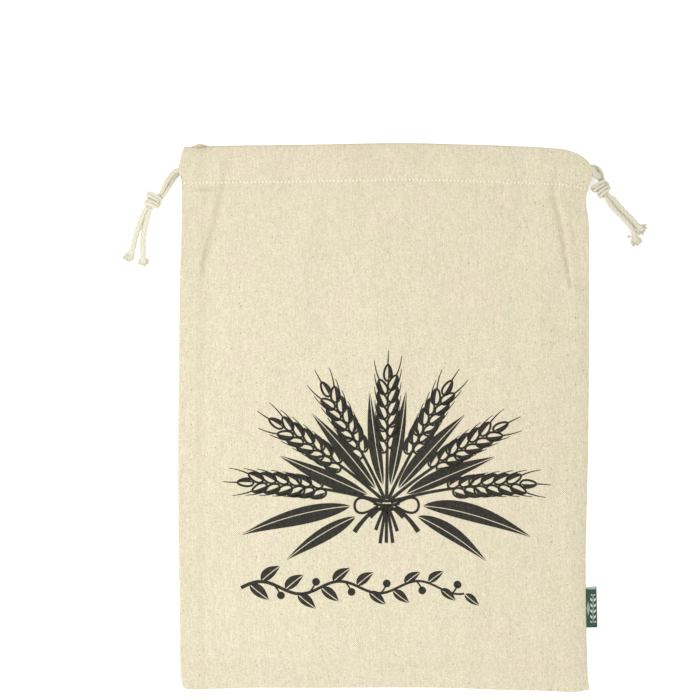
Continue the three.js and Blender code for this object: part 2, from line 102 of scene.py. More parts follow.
# Each free end: the end it is tied to, which way round the knot it goes, its lead's width, its lead from
# inside the hem to the knot and its tail, both as x, y and height, and how its tip frays.
FREE_ENDS = {
    "left_cord_back_end": {
        "node": "drawcord_left", "beside": "left_cord_front_end", "strand": 1, "width": 3.3,
        "lead": (
            (-146.3, 181, 1.9), (-150.8, 180, 2.5), (-153.3, 176.9, 2.6), (-156.4, 172.2, 3.1),
            (-159.4, 167.2, 3.8),
        ),
        "tail": (
            (-175.2, 152.2, 3), (-179, 143.8, 2.2), (-182.6, 133.2, 2.2), (-185, 123.6, 2.3),
            (-188.4, 117.4, 2.8),
        ),
        "fray": {"seed": 3, "turn": 0.12, "splay": 0.4, "reach": 2.2, "slant": 0.12, "opened": 3.2},
    },
    "left_cord_front_end": {
        "node": "drawcord_left", "beside": "left_cord_back_end", "strand": -1, "width": 3.5,
        "lead": (
            (-146.3, 182, 7.9), (-151, 181.8, 7.5), (-154.2, 180.4, 7.2), (-157.6, 176.2, 6.2),
            (-160.9, 170.6, 5.2),
        ),
        "tail": (
            (-172.9, 150.8, 3), (-174.9, 142.6, 2.2), (-176.6, 132.5, 2.2), (-176.9, 121.8, 2.3),
            (-176.4, 113.6, 2.8),
        ),
        "fray": {"seed": 5, "turn": 0.0, "splay": 0.85, "reach": 2.4},
    },
    "right_cord_back_end": {
        "node": "drawcord_right", "beside": "right_cord_front_end", "strand": 1, "width": 3.3,
        "lead": ((148.3, 184.9, 2.1), (153.4, 184.8, 2.5), (156.6, 184, 2.6), (159.4, 181, 3.2)),
        "tail": (
            (165.6, 158.9, 3), (171.2, 151.9, 2.2), (177.6, 145.6, 2.2), (183, 138.6, 2.3),
            (186, 129.4, 2.8),
        ),
        "fray": {"seed": 8, "turn": 0.0, "splay": 0.7, "reach": 3.0, "stray": -2.0},
    },
    "right_cord_front_end": {
        "node": "drawcord_right", "beside": "right_cord_back_end", "strand": -1, "width": 4.8,
        "lead": ((148.3, 184, 7.8), (152.8, 182.4, 7.5), (154.8, 179.6, 7.4), (157.2, 177.6, 6.6)),
        "tail": (
            (168.6, 160.9, 3), (174, 154.7, 2.2), (181.6, 147, 2.2), (186.6, 141.6, 2.3),
            (190.8, 138, 2.8),
        ),
        "fray": {"seed": 13, "turn": 0.0, "splay": 0.95, "reach": 2.4},
    },
}


class Finish:
    """A socket in a tree of nodes: sums on it add Math nodes, and node() adds any other node."""

    def __init__(self, tree, socket=None):
        self.tree = tree
        self.socket = socket

    def node(self, kind, settings=None, inputs=None, output=0):
        made = self.tree.nodes.new(kind)
        for key, value in (settings or {}).items():
            setattr(made, key, value)
        for key, value in (inputs or {}).items():
            if isinstance(value, Finish):
                self.tree.links.new(value.socket, made.inputs[key])
            else:
                made.inputs[key].default_value = value
        return Finish(self.tree, made.outputs[output] if len(made.outputs) else None)

    def sum_of(self, operation, *values):
        return self.node("ShaderNodeMath", {"operation": operation}, dict(enumerate(values)))

    def __add__(self, other):
        return self.sum_of("ADD", self, other)

    __radd__ = __add__

    def __sub__(self, other):
        return self.sum_of("SUBTRACT", self, other)

    def __rsub__(self, other):
        return self.sum_of("SUBTRACT", other, self)

    def __mul__(self, other):
        return self.sum_of("MULTIPLY", self, other)

    __rmul__ = __mul__

    def __abs__(self):
        return self.sum_of("ABSOLUTE", self)

    def wave(self):
        """The sine along this coordinate, half a turn for each whole step."""
        return self.sum_of("SINE", self * math.pi)

    def attribute(self, name):
        """A number that the mesh keeps at each of its points."""
        return self.node("ShaderNodeAttribute", {"attribute_name": name}, output=2)

    def part(self, axis):
        """One of a vector's three numbers."""
        return self.node("ShaderNodeSeparateXYZ", None, {0: self}, "XYZ".index(axis))

    def stretched(self, sizes):
        """A vector times a size for each axis."""
        return self.node("ShaderNodeVectorMath", {"operation": "MULTIPLY"}, {0: self, 1: sizes})

    def noise(self, detail=2.0, roughness=0.5):
        """Soft noise, about 0.5, at these coordinates."""
        inputs = {"Vector": self, "Scale": 1.0, "Detail": detail, "Roughness": roughness}
        return self.node("ShaderNodeTexNoise", None, inputs)

    def between(self, low, high):
        """0 below low, 1 above high, and a smooth step between them."""
        inputs = {"Value": self, "From Min": low, "From Max": high}
        return self.node("ShaderNodeMapRange", {"interpolation_type": "SMOOTHSTEP"}, inputs)

    def mixed(self, first, second):
        """A colour from first, where this is 0, to second, where it is 1."""
        inputs = {0: self, 6: first, 7: second}
        return self.node("ShaderNodeMix", {"data_type": "RGBA"}, inputs, 2)

    def lots(self, other):
        """A random number, 0 to 1, for each whole step of this and another coordinate."""
        steps = {0: self.sum_of("FLOOR", self), 1: self.sum_of("FLOOR", other)}
        cell = self.node("ShaderNodeCombineXYZ", None, steps)
        return self.node("ShaderNodeTexWhiteNoise", {"noise_dimensions": "2D"}, {"Vector": cell})

    def bumped(self, depth):
        """A surface normal from these heights, 0 to 1, that are depth millimetres deep."""
        inputs = {"Height": self, "Strength": 1.0, "Distance": depth * MM}
        return self.node("ShaderNodeBump", None, inputs)


def plain_weave(warp, weft):
    """A plain weave's heights, and which thread is on top, from the sines along its two threads."""
    over = warp * weft * 0.5
    return abs(warp) * (0.5 + over) + abs(weft) * (0.5 - over), over + 0.5


def finish_of(name, dress, roughness, sheen):
    """A matte textile material; dress gives its colour and normal from its Object coordinates."""
    material = bpy.data.materials.new(name)
    material.use_nodes = True
    tree = material.node_tree
    shader = tree.nodes["Principled BSDF"]
    places = Finish(tree).node("ShaderNodeTexCoord", output=3)
    millimetres = places.stretched((1 / MM, 1 / MM, 1 / MM))
    colour, normal = dress(millimetres)
    tree.links.new(colour.socket, shader.inputs["Base Color"])
    tree.links.new(normal.socket, shader.inputs["Normal"])
    shader.inputs["Roughness"].default_value = roughness
    shader.inputs["Sheen Weight"].default_value = sheen
    shader.inputs["Specular IOR Level"].default_value = 0.2
    return material


def cord_yarn(millimetres):
    """Soft cream yarn, with painted shade: darker in the braid's hollows, and darkest where strands
    touch.
    """
    braid = millimetres.attribute("braid")
    fibres = millimetres.stretched((2.6, 2.6, 2.6)).noise(4.0, 0.65)
    depth = braid.between(0.1, 0.75) * 0.75 + fibres * 0.35
    open_yarn = depth.mixed(CORD_HOLLOW_COLOUR, CORD_COLOUR)
    colour = braid.between(-1.0, 0.0).mixed(CREVICE_SHADE_COLOUR, open_yarn)
    return colour, (fibres * 0.8 + braid * 0.2).bumped(0.18)


cord_cotton = finish_of("cord_cotton", cord_yarn, 0.92, 0.25)


def metres(points):
    """Points of the bag, in millimetres from its middle line, as metres in the shared frame."""
    return (np.asarray(points, float) + (BAG_MIDDLE_X, 0, 0)) * MM


def unit(vectors):
    return vectors / np.linalg.norm(vectors, axis=-1, keepdims=True)


def right_of(ways):
    """Directions on the table, square to these and to their right."""
    return np.stack([ways[..., 1], -ways[..., 0]], -1)


def steps_along(route):
    """How long each step of a route is."""
    return np.linalg.norm(np.diff(route[:, :3], axis=0), axis=1)


def free_end_rows(end):
    """The rows that a free end passes through, as x, y, height and width."""
    x, y, heading = DRAWCORDS[end["node"]]["knot"]
    along = np.array([math.cos(math.radians(heading)), math.sin(math.radians(heading))])
    across = -right_of(along)
    aside = end["strand"] * STRANDS_APART / 2
    rows = [(*point, end["width"] if i else IN_HEM_WIDTH) for i, point in enumerate(end["lead"])]
    for ahead, beside, up, towards in KNOT_ROUTE:
        place = along * (ahead + towards[0] * aside) + across * (beside + towards[1] * aside)
        rows.append((x + place[0], y + place[1], up, KNOTTED_WIDTH))
    rows += [(*point, CORD_WIDTH) for point in end["tail"][:-1]]
    return np.array([*rows, (*end["tail"][-1], TIP_WIDTH)])


def smooth_route(rows, step):
    """A smooth curve through rows of x, y, height and width, as rows a step apart."""
    rows = np.vstack([2 * rows[0] - rows[1], rows, 2 * rows[-1] - rows[-2]])
    spans = np.sqrt(steps_along(rows))
    share = np.linspace(0, 1, 24, endpoint=False)[:, None]
    curve = []
    for i in range(1, len(rows) - 2):
        before, here, after = spans[i - 1 : i + 2]
        first, last = rows[i], rows[i + 1]
        rise = last - first
        leave = (first - rows[i - 1]) / before - (last - rows[i - 1]) / (before + here) + rise / here
        arrive = rise / here - (rows[i + 2] - first) / (here + after) + (rows[i + 2] - last) / after
        bend = (leave * here - rise) * (1 - share) - (arrive * here - rise) * share
        curve.append(first + rise * share + share * (1 - share) * bend)
    curve = np.vstack([*curve, rows[-2:-1]])
    run = np.concatenate([[0], np.cumsum(steps_along(curve))])
    stops = np.linspace(0, run[-1], int(run[-1] / step) + 1)
    return np.column_stack([np.interp(stops, run, column) for column in curve.T])


def frames_along(route):
    """At each point of a route, two directions square to it that turn as little as can be."""
    headings = unit(np.gradient(route[:, :3], axis=0))
    side = unit(np.cross((0, 0, 1), headings[0]))
    sides = []
    for heading in headings:
        side = unit(side - heading * (side @ heading))
        sides.append(side)
    sides = np.array(sides)
    return sides, np.cross(headings, sides)


def rings_along(route, count, wide, high):
    """Rings of points about a route, so wide to its sides and so high above and below it."""
    sides, ups = frames_along(route)
    turns = 2 * np.pi * np.arange(count) / count
    across = (wide * np.cos(turns))[..., None] * sides[:, None]
    upward = (high * np.sin(turns))[..., None] * ups[:, None]
    return route[:, None, :3] + across + upward


def mesh_piece(name, points, faces, material):
    """A smooth mesh object in the scene, from points in metres."""
    mesh = bpy.data.meshes.new(name)
    mesh.from_pydata([tuple(p) for p in points], [], [tuple(f) for f in faces])
    mesh.polygons.foreach_set("use_smooth", [True] * len(mesh.polygons))
    mesh.materials.append(material)
    piece = bpy.data.objects.new(name, mesh)
    bpy.context.scene.collection.objects.link(piece)
    return piece


def cord_piece(name, tubes):
    """A piece of cord cotton from closed tubes, each as its rings of points, as many as the others."""
    count, rings, sides, _ = np.shape(tubes)
    faces = []
    for net in np.arange(count * rings * sides).reshape(count, rings, sides):
        after = np.roll(net, -1, axis=1)
        faces += np.stack([net[:-1], after[:-1], after[1:], net[1:]], -1).reshape(-1, 4).tolist()
        faces += [net[0, ::-1].tolist(), net[-1].tolist()]
    return mesh_piece(name, metres(np.reshape(tubes, (-1, 3))), faces, cord_cotton)


def mark_points(piece, name, values):
    """Keeps a number at each point of a piece, for its material."""
    marks = piece.data.attributes.new(name, "FLOAT", "POINT")
    marks.data.foreach_set("value", values.ravel().astype(np.float32))


def touching(rings, route, beside, valley):
    """How much painted shade the strand beside a cord, or another turn of it, puts on each point of it.
    """
    near = np.empty(rings.shape[:2])
    reaches = np.interp(np.linspace(0, 1, len(route)), TAIL_SHARE, (CREVICE_REACH, valley))
    for i, ring in enumerate(rings):
        far_along = np.abs(np.arange(len(route)) - i) * CORD_STEP > OWN_TURN
        others = np.concatenate([beside, route[far_along]])
        gaps = np.linalg.norm(ring[:, None] - others[None, :, :3], axis=2) - others[:, 3] / 2
        near[i] = 1 - gaps.min(axis=1) / reaches[i]
    return np.clip(near, 0, 1) * np.sqrt(CREVICE_REACH / reaches)[:, None]


def braided_cord(name, route, beside, painted_lightness, valley):
    """A round braid along a route: two sets of strands that wind opposite ways, over and under."""
    turns = np.arange(CORD_SIDES) / CORD_SIDES
    wound = np.arange(len(route))[:, None] * CORD_STEP / BRAID_PITCH / 2
    strands = turns * BRAID_STRANDS
    braid, _ = plain_weave(np.sin(np.pi * (strands + wound)), np.sin(np.pi * (strands - wound)))
    radii = route[:, 3, None] / 2 * (1 - BRAID_RELIEF + BRAID_RELIEF * 2 * braid)
    points = rings_along(route, CORD_SIDES, radii, radii)
    points[..., 2] = np.maximum(points[..., 2], TABLE_GAP)
    piece = cord_piece(name, [points])
    # Painted shade: the lead is darker near the hem, and the crevices between strands are darkest.
    lead_shade = np.interp(np.linspace(0, 1, len(route)), LEAD_SHARE, (LEAD_SHADE, 1))[:, None]
    mark_points(piece, "braid", braid * painted_lightness * lead_shade - touching(points, route, beside, valley))
    return piece


FRAY_YARNS = 11
FRAY_FIBRES = 9
FRAY_STEPS = 8
FRAY_ROOT = 4.4
FRAY_SPREAD = 1.5
YARN_WIDTH = 0.95
FIBRE_WIDTH = 0.4
FIBRE_SIDES = 5
FIBRE_LENGTHS = (0.76, 1.06)
FIBRE_SPREAD = 0.2
FIBRE_TAPER = 0.6
YARN_TONES = (0.35, 1.0)
# A few yarns of one tip stray apart: how far across, how long, and how each is turned.
STRAY_FAN = -1.3
STRAY_REACH = 0.54
STRAY_TURNS = (-0.3, -0.1, 0.1, 0.3)


def frayed_tip(name, route, painted_lightness, seed, turn, splay, reach, slant=0.0, stray=None, opened=0.0):
    """The cut end of a cord: its yarns open like a fan on the table, each with loose fibres."""
    draw = np.random.default_rng(seed)
    end = route[-1, :3]
    ahead = unit((end - route[-8, :3]) * (1, 1, 0))
    aside = np.array((-ahead[1], ahead[0], 0))
    share = np.linspace(0, 1, FRAY_STEPS)[:, None]
    fans = [(yarn + draw.uniform(0.2, 0.8)) / FRAY_YARNS * 2 - 1 for yarn in range(FRAY_YARNS)]
    yarns = [(f, turn + splay * f, (1 - slant * f) * (1.08 - 0.2 * f**2), -0.3 * f) for f in fans]
    if stray is not None:
        yarns += [(STRAY_FAN, stray + turned, STRAY_REACH, 0.1) for turned in STRAY_TURNS]
    strands = []
    tones = []
    for fan, yarn_lean, stretch, curl in yarns:
        tier = draw.uniform(-1, 1)
        # A yarn's tone is random, scaled by how light its cord is painted, which is painted shade on the
        # right cord.
        tone = draw.uniform(*YARN_TONES) * painted_lightness
        for fibre in range(FRAY_FIBRES):
            lean = yarn_lean + splay * draw.normal(0, FIBRE_SPREAD) * (fibre > 0)
            way = ahead * math.cos(lean) + aside * math.sin(lean)
            bend = aside * splay * draw.normal(curl, 0.15)
            root = end - ahead * (FRAY_ROOT + opened) + aside * fan * FRAY_SPREAD
            length = (FRAY_ROOT + opened + reach) * stretch * draw.uniform(*FIBRE_LENGTHS)
            line = root + length * (way * share + bend * share**2)
            high, low = end[2] + 0.8 * tier, 1.1 + 0.5 * tier + draw.normal(0, 0.15)
            line[:, 2] = (high + (low - high) * share**1.4)[:, 0]
            width = FIBRE_WIDTH * draw.uniform(0.7, 1.2) if fibre else YARN_WIDTH
            radii = width / 2 * (1 - FIBRE_TAPER * share**2)
            strands.append(rings_along(line, FIBRE_SIDES, radii, radii))
            tones.append(tone)
    piece = cord_piece(name, strands)
    mark_points(piece, "braid", np.repeat(tones, FRAY_STEPS * FIBRE_SIDES))
    return piece


routes = {name: smooth_route(free_end_rows(end), CORD_STEP) for name, end in FREE_ENDS.items()}
for end_name, end in FREE_ENDS.items():
    route = routes[end_name]
    yarn = DRAWCORDS[end["node"]]
    braid = route[: len(route) - int(end["fray"].get("opened", 0) / CORD_STEP)]
    cord = braided_cord(end_name, braid, routes[end["beside"]], yarn["painted_lightness"], yarn["valley"])
    fray = frayed_tip(end_name + "_fray", route, yarn["painted_lightness"], **end["fray"])
    length = steps_along(route).sum() * MM
    for piece in (cord, fray):
        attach(piece, "root")
        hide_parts(end["node"])

# Front panel
# One cut of unbleached plain-weave cotton. Its sides and foot are seamed to the back with the
# allowances turned in, and its top is turned over inwards and sewn down as a tunnel for the cords.
HALF_WIDTH = 150.0
HALF_LENGTH = 200.0
PLY = 0.7
SEAM_ALLOWANCE = 17.0
SEAM_ROLL = 1.6
SEAM_TOP = 4.8
SEAM_MEETING = 2.4
SEAM_LIFT = 0.3
HEM_DEPTH = 27.0
HEM_LINE = HALF_LENGTH - HEM_DEPTH
HEM_FOLD = 1.05
HEM_FOOT = 2.0
HEM_CREST = 3.9
HEM_END_CREST = 4.7
HEM_CUT = 1.0
HEM_REACHES = (16, 45)
HEM_END_FLOOR = 5.2
HEM_MIDDLE_RISE = 4.6
HEM_END_STEEPNESS = 8
TROUGH_DEPTH, TROUGH_WIDTH = 0.32, 1.6
PUCKER_DEPTH, PUCKER_WIDTH, PUCKER_LENGTH = 0.12, 4, 1.9
LOFT = 6.0
LOFT_REACH = 45.0

# How far the side edges wander from straight: up the bag, then left and right.
SIDE_EDGES = (
    (-200, 3.2, 1.3), (-196, 1.5, 0.8), (-186, 0.4, 0), (-140, -0.1, -1.2),
    (-100, -0.9, -1.3), (-60, -1.1, -0.5), (-15, -1.2, 0.5), (40, -0.7, 1),
    (100, 0.1, 1.1), (148, 1.4, 0.8), (165, 1.6, -1.4), (174, 1.5, 0.4),
    (182, -0.3, 2.7), (190, 0.7, 2.3), (196, 2.3, -2.5), (200, 3.5, -8),
)
# How far the bottom seam and the mouth wander from straight: across the bag, then bottom and top.
END_EDGES = (
    (-150, 1, -0.5), (-143, 0.4, -0.2), (-120, 1, -0.3), (-100, 1.6, 0), (-60, 1.5, 0.4),
    (15, 1.8, 1.7), (50, 1.4, 1), (80, 0.2, 0.2), (115, -0.6, -1.1), (140, -1.5, -2.8),
    (150, 0.4, -5.4),
)
# The two long creases down from the cord ends: up the bag, then across it and how deep.
LEFT_CREASE = (
    (102, -134, 0), (108, -133.7, 0.9), (118, -132.2, 1.2), (140, -126.7, 1.1), (164, -121.4, 0.9),
    (182, -117.4, 0.5), (196, -115.4, 0),
)
RIGHT_CREASE = (
    (95, 136.9, 0), (100, 136.1, 1.2), (132, 130.4, 1.3), (152, 127.2, 1.1), (166, 124.9, 0.8),
    (182, 124.2, 0.5), (196, 123.4, 0),
)
CREASE_WIDTHS = (1.5, 2.7)
CREASE_RIDGE = (0.5, 1.8)
# Short soft folds: x and y of both ends, width and depth.
SOFT_FOLDS = (
    (134.5, 101.5, 150, 95, 2.0, 0.7),
    (-146, 94.5, -128, 95.5, 2.2, 0.3),
    (-146, 168.2, -120, 168.0, 1.8, 0.8),
    (118, 164, 148, 158, 3.0, 0.4),
    (-149, 150, -137, 158, 3.0, 0.35),
    (141, 120, 139, 146, 3.0, 0.3),
)
# Broad waves in the cloth: length across and up the bag, where the crest is, and height.
BROAD_WAVES = (
    (95, 400, 20, 0.16), (160, -130, 60, 0.22), (70, 210, -35, 0.1), (300, 88, 10, 0.16),
)


def ease(low, high, at):
    """0 at low, 1 at high, and a smooth step between them."""
    t = np.clip((at - low) / (high - low), 0, 1)
    return t * t * (3 - 2 * t)


def blend(first, last, share):
    return first + (last - first) * share


def hump(at):
    """A soft hump, 1 high at 0 and gone by 2."""
    return np.exp(-(at**2))


def read_table(rows, column, at):
    """One column of a table, as a smooth curve through its rows, at places along its first column."""
    table = np.array(rows, float)
    places, values = table[:, 0], table[:, column]
    earlier = np.maximum(np.arange(len(rows)) - 1, 0)
    later = np.minimum(np.arange(len(rows)) + 1, len(rows) - 1)
    slopes = (values[later] - values[earlier]) / (places[later] - places[earlier])
    at = np.clip(at, places[0], places[-1])
    row = np.clip(np.searchsorted(places, at) - 1, 0, len(rows) - 2)
    span = places[row + 1] - places[row]
    rise = values[row + 1] - values[row]
    t = (at - places[row]) / span
    leave = slopes[row] * (1 - t) - slopes[row + 1] * t
    return values[row] + rise * t + t * (1 - t) * (span * leave + rise * (2 * t - 1))


def lying(x, y):
    """Where the uneven bag has a point of the straight-edged bag."""
    u = (x + HALF_WIDTH) / (2 * HALF_WIDTH)
    v = (y + HALF_LENGTH) / (2 * HALF_LENGTH)
    left, right = (read_table(SIDE_EDGES, column, y) for column in (1, 2))
    bottom, top = (read_table(END_EDGES, column, x) for column in (1, 2))
    return x + blend(left, right, u), y + blend(bottom, top, v)


def crease_drop(rows, outward, x, y):
    """How far a long crease sinks the cloth: a trough, narrow at its foot, with a ridge outside it."""
    away = (x - read_table(rows, 1, y)) * outward / blend(*CREASE_WIDTHS, ease(100, 150, y))
    share, beside = CREASE_RIDGE
    depth = np.where((y > rows[0][0]) & (y < rows[-1][0]), read_table(rows, 2, y), 0)
    return np.maximum(0, depth) * (hump(away) + 0.35 * hump(away * 3) - share * hump(away - beside))


def fold_drop(x, y):
    """How far the short soft folds sink the cloth."""
    drop = 0
    for x0, y0, x1, y1, width, depth in SOFT_FOLDS:
        length = math.hypot(x1 - x0, y1 - y0)
        along = ((x - x0) * (x1 - x0) + (y - y0) * (y1 - y0)) / length
        away = ((x - x0) * (y1 - y0) - (y - y0) * (x1 - x0)) / length
        ends = ease(0, 0.35 * length, along) * ease(length, 0.65 * length, along)
        drop = drop + depth * ends * (hump(away / width) - 0.5 * hump(away / width - 1.9))
    return drop


def broad_waves(x, y):
    """Low waves that empty cloth keeps when it is laid down."""
    rise = 0
    for across, up, crest, height in BROAD_WAVES:
        rise = rise + height * np.cos(2 * np.pi * ((x - crest) / across + y / up))
    return rise


def settle(inside):
    return 1 - (1 - np.clip(inside / LOFT_REACH, 0, 1)) ** 2


def hem_floor(x):
    """The underside of the front's hem: close to the back's at both ends, open in the middle."""
    near_end = np.minimum(1, np.abs(x) / HALF_WIDTH) ** HEM_END_STEEPNESS
    return HEM_END_FLOOR + HEM_MIDDLE_RISE * (1 - near_end)


def edge_inset(x, y):
    return np.minimum(HALF_WIDTH - np.abs(x), y + HALF_LENGTH)


def seam_ridge(x, y):
    """The allowances inside the seams lift the cloth a little, which shows as a line beside them."""
    return SEAM_LIFT * ease(SEAM_ALLOWANCE + 1.6, SEAM_ALLOWANCE - 1.2, edge_inset(x, y))


def allowance_share(x, y):
    """1 where the seams' allowances lie inside, and 0 past them and in the hem."""
    inside = ease(SEAM_ALLOWANCE + 1, SEAM_ALLOWANCE - 1, edge_inset(x, y))
    return inside * ease(HEM_LINE, HEM_LINE - 4, y)


def stitch_trough(x, y):
    """The row of stitches draws the hem in, unevenly."""
    away = y - HEM_LINE
    pucker = PUCKER_DEPTH * np.cos(x / PUCKER_LENGTH + 3 * np.sin(x / 23))
    return TROUGH_DEPTH * hump(away / TROUGH_WIDTH) + pucker * hump(away / PUCKER_WIDTH)


def hem_arch(x, share):
    """The height of a hem's upper ply above its floor, from its stitches, 0, to its fold, 1."""
    crest = blend(HEM_CREST, HEM_END_CREST, ease(130, 147, np.abs(x)))
    past_crest = np.clip(2 * share - 1, 0, 1)
    near_fold = blend(HEM_FOLD, crest, (1 - past_crest**4) ** 0.62)
    return np.where(share < 0.5, blend(HEM_FOOT, crest, ease(0, 0.5, share)), near_fold)


def long_creases(x, y):
    return crease_drop(LEFT_CREASE, -1, x, y) + crease_drop(RIGHT_CREASE, 1, x, y)


def front_body(x, y):
    """The front's outer face below its hem, before its edges roll under."""
    aside = HALF_WIDTH - np.abs(x)
    open_share = settle(aside) * settle(y + HALF_LENGTH)
    body = SEAM_TOP + LOFT * open_share + broad_waves(x, y) * open_share
    reach = blend(*HEM_REACHES, ease(0, LOFT_REACH, aside))
    level = blend(body, hem_floor(x) + HEM_FOOT, ease(HEM_LINE - reach, HEM_LINE, y))
    drop = long_creases(x, y) + fold_drop(x, y) + stitch_trough(x, y)
    return level + seam_ridge(x, y) - drop


def rolled(inside):
    t = np.clip(1 - inside / SEAM_ROLL, 0, 1)
    return SEAM_ROLL * (1 - np.sqrt(1 - t * t))


def edge_roll(x, y, inset=0.0):
    """How far a panel's seamed edges, so far inset, roll towards the seam."""
    sides = rolled(HALF_WIDTH - inset - np.abs(x)) * ease(HEM_LINE, HEM_LINE - 16, y)
    return np.maximum(sides, rolled(y + HALF_LENGTH - inset))


def net_lines(*runs):
    """Ascending places along an edge, from runs of start, end and spacing."""
    stops = [np.linspace(a, b, max(1, round((b - a) / step)), endpoint=False) for a, b, step in runs]
    return np.concatenate([*stops, [runs[-1][1]]])


def inner_face(outer, thickness):
    """The other face of a ply, square to it in each section up the bag."""
    lean = unit(np.gradient(outer[..., 1:], axis=0))
    inner = outer.copy()
    inner[..., 1] += thickness * lean[..., 1]
    inner[..., 2] -= thickness * lean[..., 0]
    return inner


def cloth_shell(name, outer, inner, material):
    """A closed sheet from the nets of its two faces, in the bag's millimetres."""
    rows, columns = outer.shape[:2]
    net = np.arange(rows * columns).reshape(rows, columns)
    under = net + rows * columns
    quads = [
        np.stack([net[:-1, :-1], net[:-1, 1:], net[1:, 1:], net[1:, :-1]], -1),
        np.stack([under[:-1, :-1], under[1:, :-1], under[1:, 1:], under[:-1, 1:]], -1),
    ]
    rim = np.concatenate([net[0, :-1], net[:-1, -1], net[-1, :0:-1], net[:0:-1, 0]])
    after = np.roll(rim, -1)
    quads.append(np.stack([rim, rim + rows * columns, after + rows * columns, after], -1))
    faces = np.concatenate([q.reshape(-1, 4) for q in quads])
    points = np.concatenate([outer.reshape(-1, 3), inner.reshape(-1, 3)])
    piece = mesh_piece(name, metres(points), faces.tolist(), material)
    piece.data.set_sharp_from_angle(angle=math.radians(60))
    return piece


def laid_out(x, y, z, lie=lying):
    """A net of points where the uneven bag has them."""
    x, y, z = np.broadcast_arrays(x, y, z)
    return np.stack([*lie(x, y), z], -1)


THREAD = 0.745
COTTON_LIGHT = (0.812, 0.765, 0.562, 1.0)
COTTON_DARK = (0.535, 0.487, 0.340, 1.0)
COTTON_PINK = (0.842, 0.748, 0.594, 1.0)
COTTON_SHADE = (0.40, 0.32, 0.20, 1.0)
SEED_FLECK = (0.25, 0.175, 0.105, 1.0)
FLECK_CELL = 6.0
FLECK_SIZE = 0.098
# How far each of these shades the cloth: slubs in its threads, long streaks, each crossing of threads,
# and which thread is on top.
YARN_SHADES = {"warp": 0.34, "weft": 0.2, "streak": 0.3, "crossing": 0.7, "top": 1.2}


def cotton_weave(millimetres):
    """Plain weave: its heights, and the shade of its uneven yarns, each about 0.5."""
    drift = millimetres.stretched((0.09, 0.06, 0.0)).noise(1.0)
    across = millimetres.part("X") * (1 / THREAD) + drift * 2.6
    along = millimetres.part("Y") * (1 / THREAD) - drift * 2.2
    weave, on_top = plain_weave(across.wave(), along.wave())
    uneven = {
        "warp": across.lots(along * 0.14 + across * 0.37),
        "weft": millimetres.stretched((0.14, 1.0, 0.0)).noise(1.0),
        "streak": millimetres.stretched((0.05, 0.008, 0.0)).noise(1.0),
        "crossing": across.lots(along),
        "top": on_top,
    }
    return weave, sum((uneven[key] - 0.5) * share for key, share in YARN_SHADES.items()) + 0.5


def fleck_mask(millimetres):
    """Specks of cotton seed, most of them small and faint."""
    cells = {"Vector": millimetres.stretched((1 / FLECK_CELL, 0.8 / FLECK_CELL, 0.0)), "Scale": 1.0}
    away = millimetres.node("ShaderNodeTexVoronoi", {"voronoi_dimensions": "2D"}, cells)
    lot = millimetres.node("ShaderNodeTexVoronoi", {"voronoi_dimensions": "2D"}, cells, 1).part("X")
    return (lot * FLECK_SIZE - away).between(0.0, 0.036) * (lot * lot * 0.34 + 0.2)


def cotton_colour(millimetres):
    weave, shade = cotton_weave(millimetres)
    mottle = millimetres.stretched((0.026, 0.034, 0.03)).noise(4.0).between(0.36, 0.66)
    light = mottle.mixed(COTTON_LIGHT, COTTON_PINK)
    # The weave's heights paint the thread tops lighter and the dips between them darker, as painted
    # shade.
    worked = (shade + (weave - 0.5) * 0.4).between(-0.37, 1.37)
    # Painted shade marked on each panel darkens the cloth towards a tan.
    cloth = millimetres.attribute("painted_shade").mixed(worked.mixed(COTTON_DARK, light), COTTON_SHADE)
    colour = fleck_mask(millimetres).mixed(cloth, SEED_FLECK)
    return colour, (weave * 0.7 + shade * 0.4).bumped(0.22)


cotton = finish_of("unbleached_cotton", cotton_colour, 0.93, 0.1)

# Near the left end of the mouth the front's fold sags and bares a lip of the back's hem.
LIP_X = -138.4
FOLD_SAG = {"width": 6.0, "drop": 2.2, "depth": 13.0}
# Painted shade on the front: in creases and soft folds, along its fold at the mouth, over the hem and
# field.
CREASE_SHADE = 0.19
SOFT_FOLD_SHADE = 0.17
FOLD_SHADE = 0.4
HEM_SHADE = 0.015
FIELD_SHADE = 0.045
# Painted shadow under the back's lip, and painted shade just below the hem's turned-in edge.
LIP_SHADE = {"right": 6, "width": 5, "below": 2.6, "height": 1.4, "tone": 0.16}
HEM_EDGE = {"below": 4.2, "width": 1.7, "tone": 0.07}
# Where the field's painted shade fades: up the bag and across it to its upper right, and down to its
# foot.
UPPER_RIGHT = {"up": (95, 125), "across": (70, 110)}
FOOT = (-100, -160)
# Painted shade by the seams, over the allowances inside: distance from the edge, then left, right and
# foot.
SEAM_SHADES = (
    (0, -0.03, 0.075, -0.03), (3, 0.055, 0.05, 0), (9, 0.055, 0.012, 0), (13, 0.08, -0.045, 0),
    (16, 0.115, -0.07, 0.045), (19, 0.05, -0.05, 0.05), (22, 0, -0.005, 0), (26, 0, 0, 0),
)


def front_lying(x, y):
    px, py = lying(x, y)
    sag = FOLD_SAG["drop"] * hump((x - LIP_X) / FOLD_SAG["width"])
    return px, py - sag * ease(HALF_LENGTH - FOLD_SAG["depth"], HALF_LENGTH, y)


